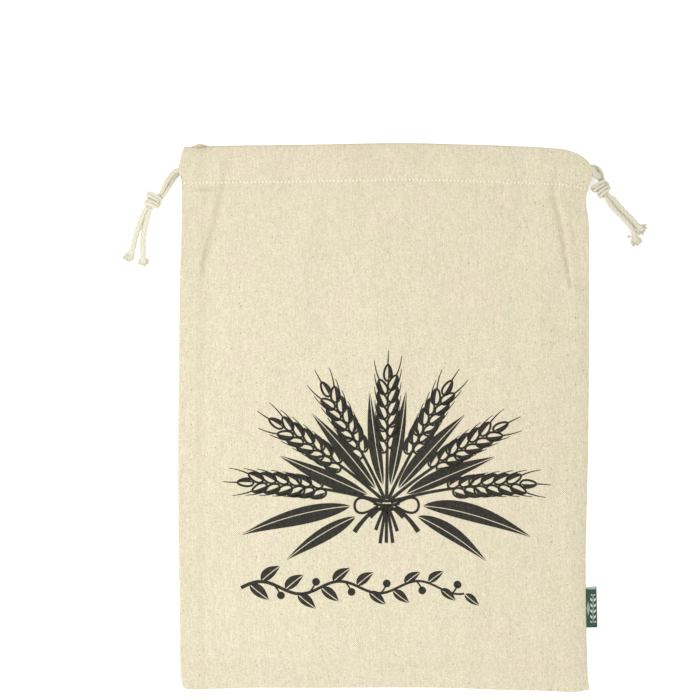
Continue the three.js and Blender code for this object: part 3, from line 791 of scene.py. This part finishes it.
def front_painted_shade(x, y):
    """How much painted shade the front has: in its creases and folds, along the mouth, and beside its
    seams.
    """
    beside_lip = hump((x - LIP_X - LIP_SHADE["right"]) / LIP_SHADE["width"])
    under_lip = beside_lip * hump((y - HALF_LENGTH + LIP_SHADE["below"]) / LIP_SHADE["height"])
    wander = 0.75 + 0.25 * np.sin(x / 6.5 + 2 * np.sin(x / 31))
    fold = wander * (1 - 0.8 * hump((x - LIP_X) / LIP_SHADE["width"]))
    hem_edge = hump((y - HEM_LINE + HEM_EDGE["below"]) / HEM_EDGE["width"]) * (1.6 * wander - 0.6)
    upper_right = ease(*UPPER_RIGHT["up"], y) * ease(*UPPER_RIGHT["across"], x)
    return (
        CREASE_SHADE * np.clip(long_creases(x, y), 0, 1.2)
        + SOFT_FOLD_SHADE * np.clip(fold_drop(x, y), 0, 1)
        + LIP_SHADE["tone"] * under_lip
        + FOLD_SHADE * fold * ease(HALF_LENGTH - 1.6, HALF_LENGTH - 0.4, y)
        + HEM_SHADE * ease(HEM_LINE, HEM_LINE + 4, y)
        + HEM_EDGE["tone"] * hem_edge
        + FIELD_SHADE * (1 - 0.6 * ease(*FOOT, y)) * (1 - upper_right)
        + read_table(SEAM_SHADES, 1, HALF_WIDTH + x)
        + read_table(SEAM_SHADES, 2, HALF_WIDTH - x) * (1 - upper_right)
        + read_table(SEAM_SHADES, 3, HALF_LENGTH + y)
    )


front_x = net_lines(
    (-150, -145, 0.55), (-145, -112, 1.3), (-112, 112, 2.4), (112, 145, 1.3), (145, 150, 0.55)
)[None, :]
body_y = net_lines((-200, -195, 0.55), (-195, 90, 2.4), (90, 166, 1.6), (166, HEM_LINE, 0.7))[:, None]
arch_share = np.concatenate([net_lines((0.02, 0.9, 0.055)), [0.94, 0.965, 0.982, 0.993, 1]])[:, None]
fold_turn = np.radians(net_lines((-90, 0, 18)))[::-1][1:, None]
inner_y = net_lines((HEM_LINE + HEM_CUT, HALF_LENGTH - HEM_FOLD - 1, 3.5))[::-1][:, None]

floor = hem_floor(front_x)
body_level = front_body(front_x, body_y)
body_face = laid_out(front_x, body_y, body_level - edge_roll(front_x, body_y))
body_ply = blend(PLY, SEAM_MEETING, allowance_share(front_x, body_y))
body_inside = laid_out(front_x, body_y, body_level - body_ply)
arch_y = HEM_LINE + HEM_DEPTH * arch_share
arch_drop = stitch_trough(front_x, arch_y) + long_creases(front_x, arch_y)
arch_z = floor + hem_arch(front_x, arch_share) - arch_drop
fold_y = HALF_LENGTH - HEM_FOLD + HEM_FOLD * np.cos(fold_turn)
fold_z = floor + HEM_FOLD + HEM_FOLD * np.sin(fold_turn)
hem_face = np.concatenate([
    laid_out(front_x, arch_y, arch_z, front_lying),
    laid_out(front_x, fold_y, fold_z, front_lying),
    laid_out(front_x, inner_y, floor, front_lying),
])
front_outer = np.concatenate([body_face, hem_face])
front_inner = np.concatenate([body_inside, inner_face(hem_face, PLY)])
front = cloth_shell("front_cloth", front_outer, front_inner, cotton)
flat_y = np.concatenate([body_y, arch_y, fold_y, inner_y])
front_shade = front_painted_shade(front_x, flat_y)
mark_points(front, "painted_shade", np.concatenate([front_shade, front_shade]))
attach(front, "root")
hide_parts("front_panel")

# Back panel
# The same cut as the front, laid face down: flat on the table, its hem's second ply arched over
# the cords, and a small lip of its hem standing past the front's near the left end of the mouth.
BACK_INSET = 0.4
BACK_LIP = {"widths": (4.8, 6.6), "reach": 2.4, "depth": 10, "tone": 0.5}
# How far right of the lip's middle its painted brown shade starts, is full, fades and ends.
LIP_BROWN = (0.5, 3.5, 8, 10)
STITCH_GROOVE = 0.35


def lip_share(x):
    """The lip's shape along the mouth: steep on its left, long on its right."""
    return hump((x - LIP_X) / np.where(x < LIP_X, *BACK_LIP["widths"]))


def back_lying(x, y):
    px, py = lying(x, y)
    lip = BACK_LIP["reach"] * lip_share(x)
    return px, py + lip * ease(HALF_LENGTH - BACK_LIP["depth"], HALF_LENGTH, y)


back_x = net_lines(
    (-149.6, -145, 0.6), (-145, -142, 1.5), (-142, -126, 1.3), (-126, 145, 3.4), (145, 149.6, 0.6)
)[None, ::-1]
back_end = HALF_LENGTH - BACK_INSET
under_y = net_lines((-199.6, -195, 0.6), (-195, 168, 3.6), (168, 178, 0.8), (178, 198.5, 2.4))[:, None]
groove = STITCH_GROOVE * hump((under_y - HEM_LINE) / 1.3)
back_roll = edge_roll(back_x, under_y, BACK_INSET)
under_face = laid_out(back_x, under_y, np.maximum(back_roll, groove), back_lying)
under_ply = blend(PLY, SEAM_MEETING - 0.04, allowance_share(back_x, under_y))
under_inside = laid_out(back_x, under_y, under_ply, back_lying)
turn_y = back_end - HEM_FOLD + HEM_FOLD * np.cos(fold_turn[::-1])
turn_z = HEM_FOLD + HEM_FOLD * np.sin(fold_turn[::-1])
over_y = HEM_LINE + (HEM_DEPTH - BACK_INSET) * arch_share[::-1]
over_z = hem_arch(back_x, arch_share[::-1]) - stitch_trough(back_x, over_y)
turned_face = np.concatenate([
    laid_out(back_x, turn_y, turn_z, back_lying),
    laid_out(back_x, over_y, over_z, back_lying),
])
back_outer = np.concatenate([under_face, turned_face])
back_inner = np.concatenate([under_inside, inner_face(turned_face, -PLY)])
back = cloth_shell("back_cloth", back_outer, back_inner, cotton)
back_y = np.concatenate([under_y, turn_y, over_y])
# Painted shade on the back's lip: light all over it, and brown towards its right.
start, full, fading, gone = (LIP_X + place for place in LIP_BROWN)
brown = 0.2 * lip_share(back_x) + 0.8 * ease(start, full, back_x) * ease(gone, fading, back_x)
back_shade = BACK_LIP["tone"] * brown * ease(HALF_LENGTH - 8, HALF_LENGTH - 2, back_y)
mark_points(back, "painted_shade", np.concatenate([back_shade, back_shade]))
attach(back, "root")
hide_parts("back_panel")

# Drawcords inside the hem
# Each cord runs through the front's tunnel, turns at the far side seam and comes back through the
# back's tunnel. Only its ends show, so it is a plain tube there.
LOOP_WIDTH = 4.2
LOOP_HEIGHT = 1.8
LOOP_SIDES = 12
LOOP_STEP = 2.5
LOOP_START = -146.0
LOOP_BEND = 3.6
TUNNEL_MIDDLE = 1.75
HEM_LOOPS = {
    "left_cord_loop": {"node": "drawcord_left", "side": -1, "y": 182.2, "turn": 142.4},
    "right_cord_loop": {"node": "drawcord_right", "side": 1, "y": 189.0, "turn": 143.1},
}

for loop_name, loop in HEM_LOOPS.items():
    across = net_lines((LOOP_START, loop["turn"], 6.0))
    level = hem_floor(across) + TUNNEL_MIDDLE
    bend = np.radians((60, 30, 0, -30, -60))
    bend_x = loop["turn"] + LOOP_BEND * np.cos(bend)
    bend_z = blend(TUNNEL_MIDDLE, level[-1], 0.5 + 0.5 * np.sin(bend))
    loop_x = np.concatenate([across, bend_x, across[::-1]]) * -loop["side"]
    loop_z = np.concatenate([level, bend_z, np.full(len(across), TUNNEL_MIDDLE)])
    loop_x, loop_y = lying(loop_x, np.full(len(loop_x), loop["y"]))
    route = smooth_route(np.column_stack([loop_x, loop_y, loop_z]), LOOP_STEP)
    tube = cord_piece(loop_name, [rings_along(route, LOOP_SIDES, LOOP_WIDTH / 2, LOOP_HEIGHT / 2)])
    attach(tube, "root")
    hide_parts(loop["node"])

# Hem stitching
# One row of lockstitch in white cotton thread holds each hem down: short plump stitches that lean
# a little and sink into the cloth, on the front's face and on the underside of the back.
STITCH_PITCH = 2.75
STITCH_SIZE = (1.35, 2.1, 0.95)
STITCH_LEAN = 0.28
STITCH_RISE = 0.12
TWIST = 9 / math.pi
THREAD_COLOUR = (0.87, 0.83, 0.70, 1.0)


def thread_cotton(millimetres):
    """White sewing thread with a fine twist."""
    twist = (millimetres.part("X") * TWIST + millimetres.part("Y") * TWIST).wave() * 0.5 + 0.5
    shade = millimetres.stretched((0.8, 0.8, 0.8)).noise(2.0)
    colour = (shade * 0.4).mixed(THREAD_COLOUR, COTTON_LIGHT)
    return colour, twist.bumped(0.08)


stitch_thread = finish_of("stitch_thread", thread_cotton, 0.85, 0.2)

stitching = bpy.data.node_groups.new("hem_stitching", "GeometryNodeTree")
STITCHING_INPUTS = (
    ("Seam", "NodeSocketGeometry", None),
    ("Pitch", "NodeSocketFloat", STITCH_PITCH * MM),
    ("Stitch", "NodeSocketVector", np.array(STITCH_SIZE) * MM / 2),
    ("Lean", "NodeSocketFloat", STITCH_LEAN),
    ("Seed", "NodeSocketInt", 4),
    ("Thread", "NodeSocketMaterial", stitch_thread),
)
stitch_inputs = {}
for input_name, kind, value in STITCHING_INPUTS:
    socket = stitching.interface.new_socket(input_name, in_out="INPUT", socket_type=kind)
    if value is not None:
        stitch_inputs[socket.identifier] = value
stitching.interface.new_socket("Stitches", in_out="OUTPUT", socket_type="NodeSocketGeometry")
given = stitching.nodes.new("NodeGroupInput")
sewn = {name: Finish(stitching, given.outputs[name]) for name, _, _ in STITCHING_INPUTS}
tool = Finish(stitching)
seam_line = tool.node("GeometryNodeMeshToCurve", None, {"Mesh": sewn["Seam"]})
spacing = {"Curve": seam_line, "Length": sewn["Pitch"]}
punctures = tool.node("GeometryNodeResampleCurve", {"mode": "LENGTH"}, spacing)
along_seam = tool.node("GeometryNodeInputTangent")
straight = tool.node("FunctionNodeAlignRotationToVector", {"axis": "X"}, {"Vector": along_seam})
leans = {2: 0.0, 3: sewn["Lean"], "Seed": sewn["Seed"]}
lean = tool.node("FunctionNodeRandomValue", {"data_type": "FLOAT"}, leans, 1)
leaning = tool.node("FunctionNodeAxisAngleToRotation", None, {"Axis": (0, 0, 1), "Angle": lean})
turns = {0: straight, 1: leaning}
turned = tool.node("FunctionNodeRotateRotation", {"rotation_space": "LOCAL"}, turns)
knob = tool.node("GeometryNodeMeshUVSphere", None, {"Segments": 8, "Rings": 5, "Radius": 1.0})
stitch = tool.node("GeometryNodeTransform", None, {"Geometry": knob, "Scale": sewn["Stitch"]})
placed = {"Points": punctures, "Instance": stitch, "Rotation": turned}
stitches = tool.node("GeometryNodeInstanceOnPoints", None, placed)
joined = tool.node("GeometryNodeRealizeInstances", None, {0: stitches})
threaded = tool.node("GeometryNodeSetMaterial", None, {0: joined, "Material": sewn["Thread"]})
tool.node("NodeGroupOutput", None, {0: threaded})


def stitch_row(name, points):
    """A row of stitches along a line of points in the bag's millimetres."""
    line = bpy.data.meshes.new(name)
    links = [(i, i + 1) for i in range(len(points) - 1)]
    line.from_pydata([tuple(p) for p in metres(points)], links, [])
    row = bpy.data.objects.new(name, line)
    bpy.context.scene.collection.objects.link(row)
    sewing = row.modifiers.new("hem_stitching", "NODES")
    sewing.node_group = stitching
    for identifier, value in stitch_inputs.items():
        sewing[identifier] = value
    depsgraph = bpy.context.evaluated_depsgraph_get()
    mesh = bpy.data.meshes.new_from_object(row.evaluated_get(depsgraph))
    row.modifiers.remove(sewing)
    mesh.polygons.foreach_set("use_smooth", [True] * len(mesh.polygons))
    row.data = mesh
    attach(row, "root")
    return row


seam_x = net_lines((-147.5, 147.5, 2.0))
front_level = front_body(seam_x, np.full_like(seam_x, HEM_LINE)) + STITCH_RISE
front_line = laid_out(seam_x, HEM_LINE, front_level)
front_stitches = stitch_row("front_hem_stitches", front_line)
under_level = STITCH_SIZE[2] / 2 + 0.02
stitch_row("back_hem_stitches", laid_out(seam_x, HEM_LINE, under_level))

# Printed design
# One colour of water-based ink, screen-printed on the front before sewing: a tied sheaf of wheat
# and a leafy sprig below it, bold as a woodcut. The ink soaks in, so it breaks up over the weave.
INK_RISE = 0.08
INK_SUNK = 0.14
THINNEST_INK = 0.08
INK_COLOUR = (0.016, 0.0148, 0.0115, 1.0)
INK_WORN = (0.055, 0.05, 0.04, 1.0)
SHEAF_TIE = np.array((3.0, -64.0))
# The sheaf's ears: lean from upright in degrees, distance from the tie to the ear, and ear length.
EARS = (
    (-73, 45, 58), (-48, 42, 57), (-25, 38, 56), (0, 37, 57), (24, 39, 55), (49, 41, 58), (73, 46, 57),
)
GRAIN_PAIRS = 6
GRAIN_LENGTH = 13.0
GRAIN_WIDTH = 7.0
GRAIN_OUTLINE = 1.6
AWN_WIDTHS = (1.15, 0.45)
STEM_WIDTHS = (2.6, 2.1)
BUTT_WIDTHS = (2.0, 2.6)
TIE_LEVELS = (-3.2, 0.0, 3.2)
TIE_WIDTH = 2.2
BOW_WIDTH = 1.9
RIBBON_WIDTHS = (2.2, 3.6)
# The sheaf's leaves: lean in degrees, distance from the tie, length, sideways bend and width.
BLADES = (
    (-113, 25, 58, -9, 12), (-94, 27, 80, -15, 15), (-65, 16, 70, -1, 13), (-37, 14, 72, -4, 12),
    (-12, 14, 68, 4, 10), (12, 14, 69, -4, 10), (38, 14, 72, 4, 12), (65, 16, 70, 1, 13),
    (94, 27, 80, 15, 15), (113, 25, 58, 9, 12),
)
LEAF_HALVES = ((-1, 0.5), (1, 0.32))
LEAF_VEIN = 0.56
SPRIG_ENDS = (-104.0, 60.0)
SPRIG_Y = -125.5
SPRIG_SWAY = 4.5
SPRIG_WAVE = 58.0
SPRIG_LEAVES = 19
SPRIG_WIDTHS = (2.6, 1.5)
STALK_WIDTH = 1.2
BERRY_SIZE = 1.5
BERRY_WIDTH = 2.8

ink_points = []
ink_faces = []


def ink_stroke(line, widths, closed=False):
    """One stroke of ink along a line of x and y: one width, or widths evenly spaced along it."""
    count = len(line)
    widths = np.atleast_1d(widths)
    widths = np.interp(np.linspace(0, 1, count), np.linspace(0, 1, len(widths)), widths)
    ahead = np.gradient(line, axis=0)
    if closed:
        ahead = np.roll(line, -1, 0) - np.roll(line, 1, 0)
    aside = -unit(right_of(ahead)) * np.maximum(widths, THINNEST_INK)[:, None] / 2
    first = sum(len(block) for block in ink_points)
    for edge, rise in ((aside, INK_RISE), (-aside, INK_RISE), (aside, -INK_SUNK), (-aside, -INK_SUNK)):
        x, y = (line + edge).T
        ink_points.append(laid_out(x, y, front_body(x, y) + rise))
    left, right, left_under, right_under = (first + count * i for i in range(4))
    pairs = [(i, (i + 1) % count) for i in range(count if closed else count - 1)]
    for a, b in pairs:
        ink_faces.append((left + a, right + a, right + b, left + b))
        ink_faces.append((left_under + a, left_under + b, right_under + b, right_under + a))
        ink_faces.append((left + a, left + b, left_under + b, left_under + a))
        ink_faces.append((right + a, right_under + a, right_under + b, right + b))
    if not closed:
        ink_faces.append((left, left_under, right_under, right))
        z = count - 1
        ink_faces.append((left + z, right + z, right_under + z, left_under + z))


def turned_way(degrees):
    """The direction that leans so many degrees to the right of upright."""
    return np.array((math.sin(math.radians(degrees)), math.cos(math.radians(degrees))))


def almond(middle, way, length, width, outline, shaded):
    """A grain or leaf: an outline with its one side shaded, that side +1 or -1."""
    across = right_of(way)
    t = np.linspace(0, 2 * math.pi, 25)[:-1, None]
    swell = np.sin(t) * (1 - 0.25 * np.cos(t))
    ring = middle + way * np.cos(t) * length / 2 + across * swell * width / 2
    ink_stroke(ring, outline, closed=True)
    s = np.linspace(0, 1, 10)[:, None]
    bulge = np.sin(math.pi * s)
    spine = middle + way * (s - 0.5) * length * 0.9 + across * shaded * bulge * width * 0.27
    ink_stroke(spine, bulge[:, 0] * width * 0.46 + 0.15)


def curved_line(start, way, length, bend, steps):
    """A line that leaves start along way and bends aside by so much at its end."""
    t = np.linspace(0, 1, steps)[:, None]
    return start + way * length * t + right_of(way) * bend * t**2


def leaf(spine, width):
    """A leaf along a line: its two halves, one wider, with the bare vein between them."""
    across = unit(right_of(np.gradient(spine, axis=0)))
    t = np.linspace(0, 1, len(spine))
    swell = width * np.sin(math.pi * t**0.75)
    for side, share in LEAF_HALVES:
        ink_stroke(spine + across * side * (swell * share + LEAF_VEIN)[:, None] / 2, swell * share)


for lean_angle, reach, ear_length in EARS:
    way = turned_way(lean_angle)
    bend = lean_angle * 0.09
    stem = curved_line(SHEAF_TIE + way * 3, way, reach, bend * 0.5, 14)
    ink_stroke(stem, STEM_WIDTHS)
    spine = curved_line(stem[-1], unit(stem[-1] - stem[-2]), ear_length, bend * 0.6, 40)
    headings = np.gradient(spine, axis=0)
    for pair in range(GRAIN_PAIRS):
        at = int((pair + 0.55) / (GRAIN_PAIRS + 0.7) * (len(spine) - 1))
        ahead = unit(headings[at])
        across = right_of(ahead)
        size = 1 - 0.22 * abs(pair - 1.8) / GRAIN_PAIRS
        for side in (-1, 1):
            grain_way = unit(ahead + across * side * 0.42)
            middle = spine[at] + across * side * 4.5 * size + ahead * side * 1.6
            almond(middle, grain_way, GRAIN_LENGTH * size, GRAIN_WIDTH * size, GRAIN_OUTLINE, side)
            awn = curved_line(middle + grain_way * GRAIN_LENGTH * 0.5, grain_way, 9 + pair, -side * 2, 7)
            ink_stroke(awn, AWN_WIDTHS)
    tip_way = unit(headings[-1])
    almond(spine[-1] - tip_way * 1.5, tip_way, GRAIN_LENGTH * 0.9, GRAIN_WIDTH * 0.8, GRAIN_OUTLINE, 1)
    ink_stroke(curved_line(spine[-1] + tip_way * 4, tip_way, 11, 0.5, 7), AWN_WIDTHS)
    butt = curved_line(SHEAF_TIE - way * (1, 3), -way * (0.42, 1), 26 + lean_angle % 7, -bend * 0.4, 9)
    ink_stroke(butt, BUTT_WIDTHS)

for lean_angle, reach, length, bend, width in BLADES:
    way = turned_way(lean_angle)
    leaf(curved_line(SHEAF_TIE + way * reach, way, length, bend, 26), width)

for level in TIE_LEVELS:
    t = np.linspace(-1, 1, 16)
    band = np.column_stack([SHEAF_TIE[0] + 9.5 * t, SHEAF_TIE[1] + level - 1.6 * (1 - t**2)])
    ink_stroke(band, TIE_WIDTH)
for side in (-1, 1):
    t = np.linspace(0, 2 * math.pi, 28)[:-1]
    bow = np.column_stack([
        SHEAF_TIE[0] + side * (15 - 8.5 * np.cos(t)),
        SHEAF_TIE[1] - 1.5 + 5.0 * np.sin(t) * (1 - 0.55 * np.cos(t)),
    ])
    ink_stroke(bow, BOW_WIDTH, closed=True)
    ribbon = curved_line(SHEAF_TIE + (side * 7, -3), turned_way(side * 128), 24, side * 4, 12)
    ink_stroke(ribbon, RIBBON_WIDTHS)


def sprig_line(x):
    return SPRIG_Y + SPRIG_SWAY * np.sin(2 * np.pi * (x - SPRIG_ENDS[0]) / SPRIG_WAVE)


sprig_x = np.linspace(*SPRIG_ENDS, 90)
ink_stroke(np.column_stack([sprig_x, sprig_line(sprig_x)]), SPRIG_WIDTHS)
for number in range(SPRIG_LEAVES):
    x = SPRIG_ENDS[0] + 6 + number * (SPRIG_ENDS[1] - SPRIG_ENDS[0] - 6) / (SPRIG_LEAVES - 1)
    side = 1 if number % 2 else -1
    size = 1 - 0.3 * number / SPRIG_LEAVES
    root = np.array((x, sprig_line(x)))
    leaf_way = unit(np.array((1.0, side * 0.95)))
    if number % 3 == 2:
        stalk = curved_line(root, leaf_way, 10 * size, side * -2, 8)
        ink_stroke(stalk, STALK_WIDTH)
        t = np.linspace(0, 2 * math.pi, 17)[:-1, None]
        berry = stalk[-1] + np.hstack([np.cos(t), np.sin(t)]) * BERRY_SIZE
        ink_stroke(berry, BERRY_WIDTH, closed=True)
    else:
        leaf(curved_line(root + leaf_way * 0.8, leaf_way, 17.5 * size, side * 1.5, 14), 9.6 * size)


def ink_print(millimetres):
    """Black ink over the weave: a little worn on the thread tops, with pinholes of bare cotton."""
    weave, shade = cotton_weave(millimetres)
    pinholes = millimetres.stretched((1.5, 1.5, 0.0)).noise(3.0, 0.7).between(0.69, 0.77)
    worn = (shade + weave * 0.3).between(0.45, 1.1)
    ink = worn.mixed(INK_COLOUR, INK_WORN)
    return (pinholes * 0.55).mixed(ink, COTTON_DARK), (weave * 0.55 + shade * 0.6).bumped(0.16)


ink = finish_of("screen_ink", ink_print, 0.8, 0.0)
design = mesh_piece("printed_sheaf", metres(np.concatenate(ink_points)), ink_faces, ink)
design.data.polygons.foreach_set("use_smooth", [False] * len(design.data.polygons))
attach(design, "root")

# Side label
# A short woven tape, folded in half with both ends caught in the right-hand side seam. It is green
# outside and pale on its wrong side, which shows where the under ply lies a little higher.
LABEL_HEIGHT = 28.0
LABEL_MIDDLE_Y = -140.0
LABEL_INNER_X = 141.5
LABEL_FOLD_X = 156.9
LABEL_PLY = 0.55
LABEL_SKEW = 2.2
LABEL_LEAN = 0.02
LABEL_LEVEL = 2.4
LABEL_GAP = 0.5
LABEL_DROOP = 0.5
LABEL_WAVE = 0.12
TAPE_GREEN = (0.02, 0.064, 0.035, 1.0)
TAPE_GREEN_LIGHT = (0.04, 0.1, 0.06, 1.0)
TAPE_PALE = (0.62, 0.63, 0.59, 1.0)
TAPE_THREAD = 0.45
# Woven in with pale thread: an ear of grains a pitch apart, and a slim lozenge beside it.
WOVEN_EAR = {"x": 151.0, "half_width": 2.1, "half_length": 10.5, "pitch": 4.2}
WOVEN_LOZENGE = {"x": 147.4, "half_width": 1.5, "half_length": 6.5, "share": 0.5}


def tape_threads(millimetres):
    """Fine ribs of the tape's weave across it, with a slight unevenness."""
    x, y = millimetres.part("X"), millimetres.part("Y")
    ribs, _ = plain_weave((x * (1 / TAPE_THREAD)).wave(), (y * (1 / TAPE_THREAD)).wave())
    uneven = millimetres.stretched((0.5, 1.2, 0.5)).noise(3.0)
    return ribs, uneven, (ribs * 0.7 + uneven * 0.3).bumped(0.12)


def tape_motifs(millimetres):
    """Where the face shows pale thread: an ear of paired grains on its stalk, and a slim lozenge."""
    x, y = millimetres.part("X"), millimetres.part("Y")
    along = y - LABEL_MIDDLE_Y
    away = abs(x - WOVEN_EAR["x"])
    rows = ((along - away * 0.9) * (2 / WOVEN_EAR["pitch"])).wave().between(0.05, 0.4)
    grains = rows * (WOVEN_EAR["half_width"] - away).between(0.0, 0.3) * (away - 0.5).between(0.0, 0.2)
    stalk = (0.3 - away).between(0.0, 0.15) * 0.7
    ear = (grains + stalk) * (WOVEN_EAR["half_length"] - abs(along)).between(0.0, 0.4)
    beside = abs(x - WOVEN_LOZENGE["x"]) * (1 / WOVEN_LOZENGE["half_width"])
    beyond = abs(along) * (1 / WOVEN_LOZENGE["half_length"])
    return ear + (1.0 - beside - beyond).between(0.0, 0.3) * WOVEN_LOZENGE["share"]


def tape_face(millimetres):
    ribs, uneven, normal = tape_threads(millimetres)
    green = (ribs * 0.5 + uneven * 0.7 - 0.2).between(0.0, 1.0).mixed(TAPE_GREEN, TAPE_GREEN_LIGHT)
    return tape_motifs(millimetres).mixed(green, TAPE_PALE), normal


def tape_back(millimetres):
    ribs, uneven, normal = tape_threads(millimetres)
    return (ribs * uneven * 0.9).mixed(TAPE_PALE, TAPE_GREEN_LIGHT), normal


tape_green = finish_of("tape_green", tape_face, 0.6, 0.1)
tape_pale = finish_of("tape_pale", tape_back, 0.8, 0.1)

fold_radius = LABEL_GAP / 2 + LABEL_PLY
straight_x = LABEL_FOLD_X - fold_radius
upper_x = net_lines((LABEL_INNER_X, straight_x, 1.1))
bend = np.radians(net_lines((-90, 90, 15)))[::-1][1:-1]
tape_x = np.concatenate([upper_x, straight_x + fold_radius * np.cos(bend), upper_x[::-1]])
tape_z = np.concatenate([
    np.full(len(upper_x), fold_radius), fold_radius * np.sin(bend), np.full(len(upper_x), -fold_radius)
])
bare_x = np.concatenate([upper_x, straight_x + LABEL_GAP / 2 * np.cos(bend), upper_x[::-1]])
bare_z = tape_z * (LABEL_GAP / 2) / fold_radius
skew = LABEL_SKEW * ease(fold_radius, -fold_radius, tape_z) * (0.45 + 0.55 * ease(147, 156, tape_x))
tape_y = net_lines((-LABEL_HEIGHT / 2, LABEL_HEIGHT / 2, 1.4)) + LABEL_MIDDLE_Y
droop = LABEL_DROOP * ease(150, LABEL_FOLD_X, tape_x)


def tape_net(xs, zs):
    net = np.empty((len(tape_y), len(xs), 3))
    net[..., 0] = xs + LABEL_LEAN * (LABEL_MIDDLE_Y - tape_y)[:, None]
    net[..., 1] = tape_y[:, None] + skew
    net[..., 2] = LABEL_LEVEL + zs - droop + LABEL_WAVE * np.sin(tape_y / 5)[:, None] * droop
    return net


label = cloth_shell("side_label_tape", tape_net(tape_x, tape_z), tape_net(bare_x, bare_z), tape_green)
label.data.materials.append(tape_pale)
face_count = (len(tape_y) - 1) * (len(tape_x) - 1)
wrong_side = np.zeros(len(label.data.polygons), np.int32)
wrong_side[face_count : 2 * face_count] = 1
label.data.polygons.foreach_set("material_index", wrong_side)
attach(label, "root")
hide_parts("side_label")

# Floor and light
# A plain white light table in even studio light: a bright surround, with one soft lamp above the
# bag's left half, so that the cloth is lightest there and the folds show on their right-hand sides.
FLOOR_HALF = 6.0
FLOOR_LEVEL = -0.0002
FLOOR_COLOUR = (0.97, 0.97, 0.968, 1.0)
FLOOR_CLOUD = (0.955, 0.955, 0.952, 1.0)
WHITE = (1.0, 1.0, 1.0, 1.0)
TABLE_GLOW = 0.42
SURROUND = 0.957
LAMP_PLACE = (-0.30, -0.08, 0.7)
LAMP_SIZE = 0.4
LAMP_POWER = 2.3


def table_top(millimetres):
    cloudy = millimetres.stretched((0.004, 0.004, 0.004)).noise(2.0)
    colour = (cloudy * 0.5).mixed(FLOOR_COLOUR, FLOOR_CLOUD)
    return colour, cloudy.bumped(0.1)


table_white = finish_of("table_white", table_top, 0.9, 0.0)
table_glow = table_white.node_tree.nodes["Principled BSDF"].inputs
table_glow["Emission Color"].default_value = WHITE
table_glow["Emission Strength"].default_value = TABLE_GLOW
quarters = ((-1, -1), (1, -1), (1, 1), (-1, 1))
corners = [(x * FLOOR_HALF, y * FLOOR_HALF, FLOOR_LEVEL) for x, y in quarters]
table = mesh_piece("table", corners, [(0, 1, 2, 3)], table_white)

surround = bpy.data.worlds.new("studio")
surround.use_nodes = True
sky = surround.node_tree.nodes["Background"].inputs
sky["Color"].default_value = WHITE
sky["Strength"].default_value = SURROUND
bpy.context.scene.world = surround

lamp = bpy.data.objects.new("soft_lamp", bpy.data.lights.new("soft_lamp", "AREA"))
lamp.data.size = LAMP_SIZE
lamp.data.energy = LAMP_POWER
lamp.location = LAMP_PLACE
towards_bag = -np.array(LAMP_PLACE)
lamp.rotation_euler = (
    math.acos(-towards_bag[2] / np.linalg.norm(towards_bag)),
    0.0,
    math.atan2(towards_bag[1], towards_bag[0]) - math.pi / 2,
)
bpy.context.scene.collection.objects.link(lamp)
bpy.context.scene.view_settings.view_transform = "Standard"
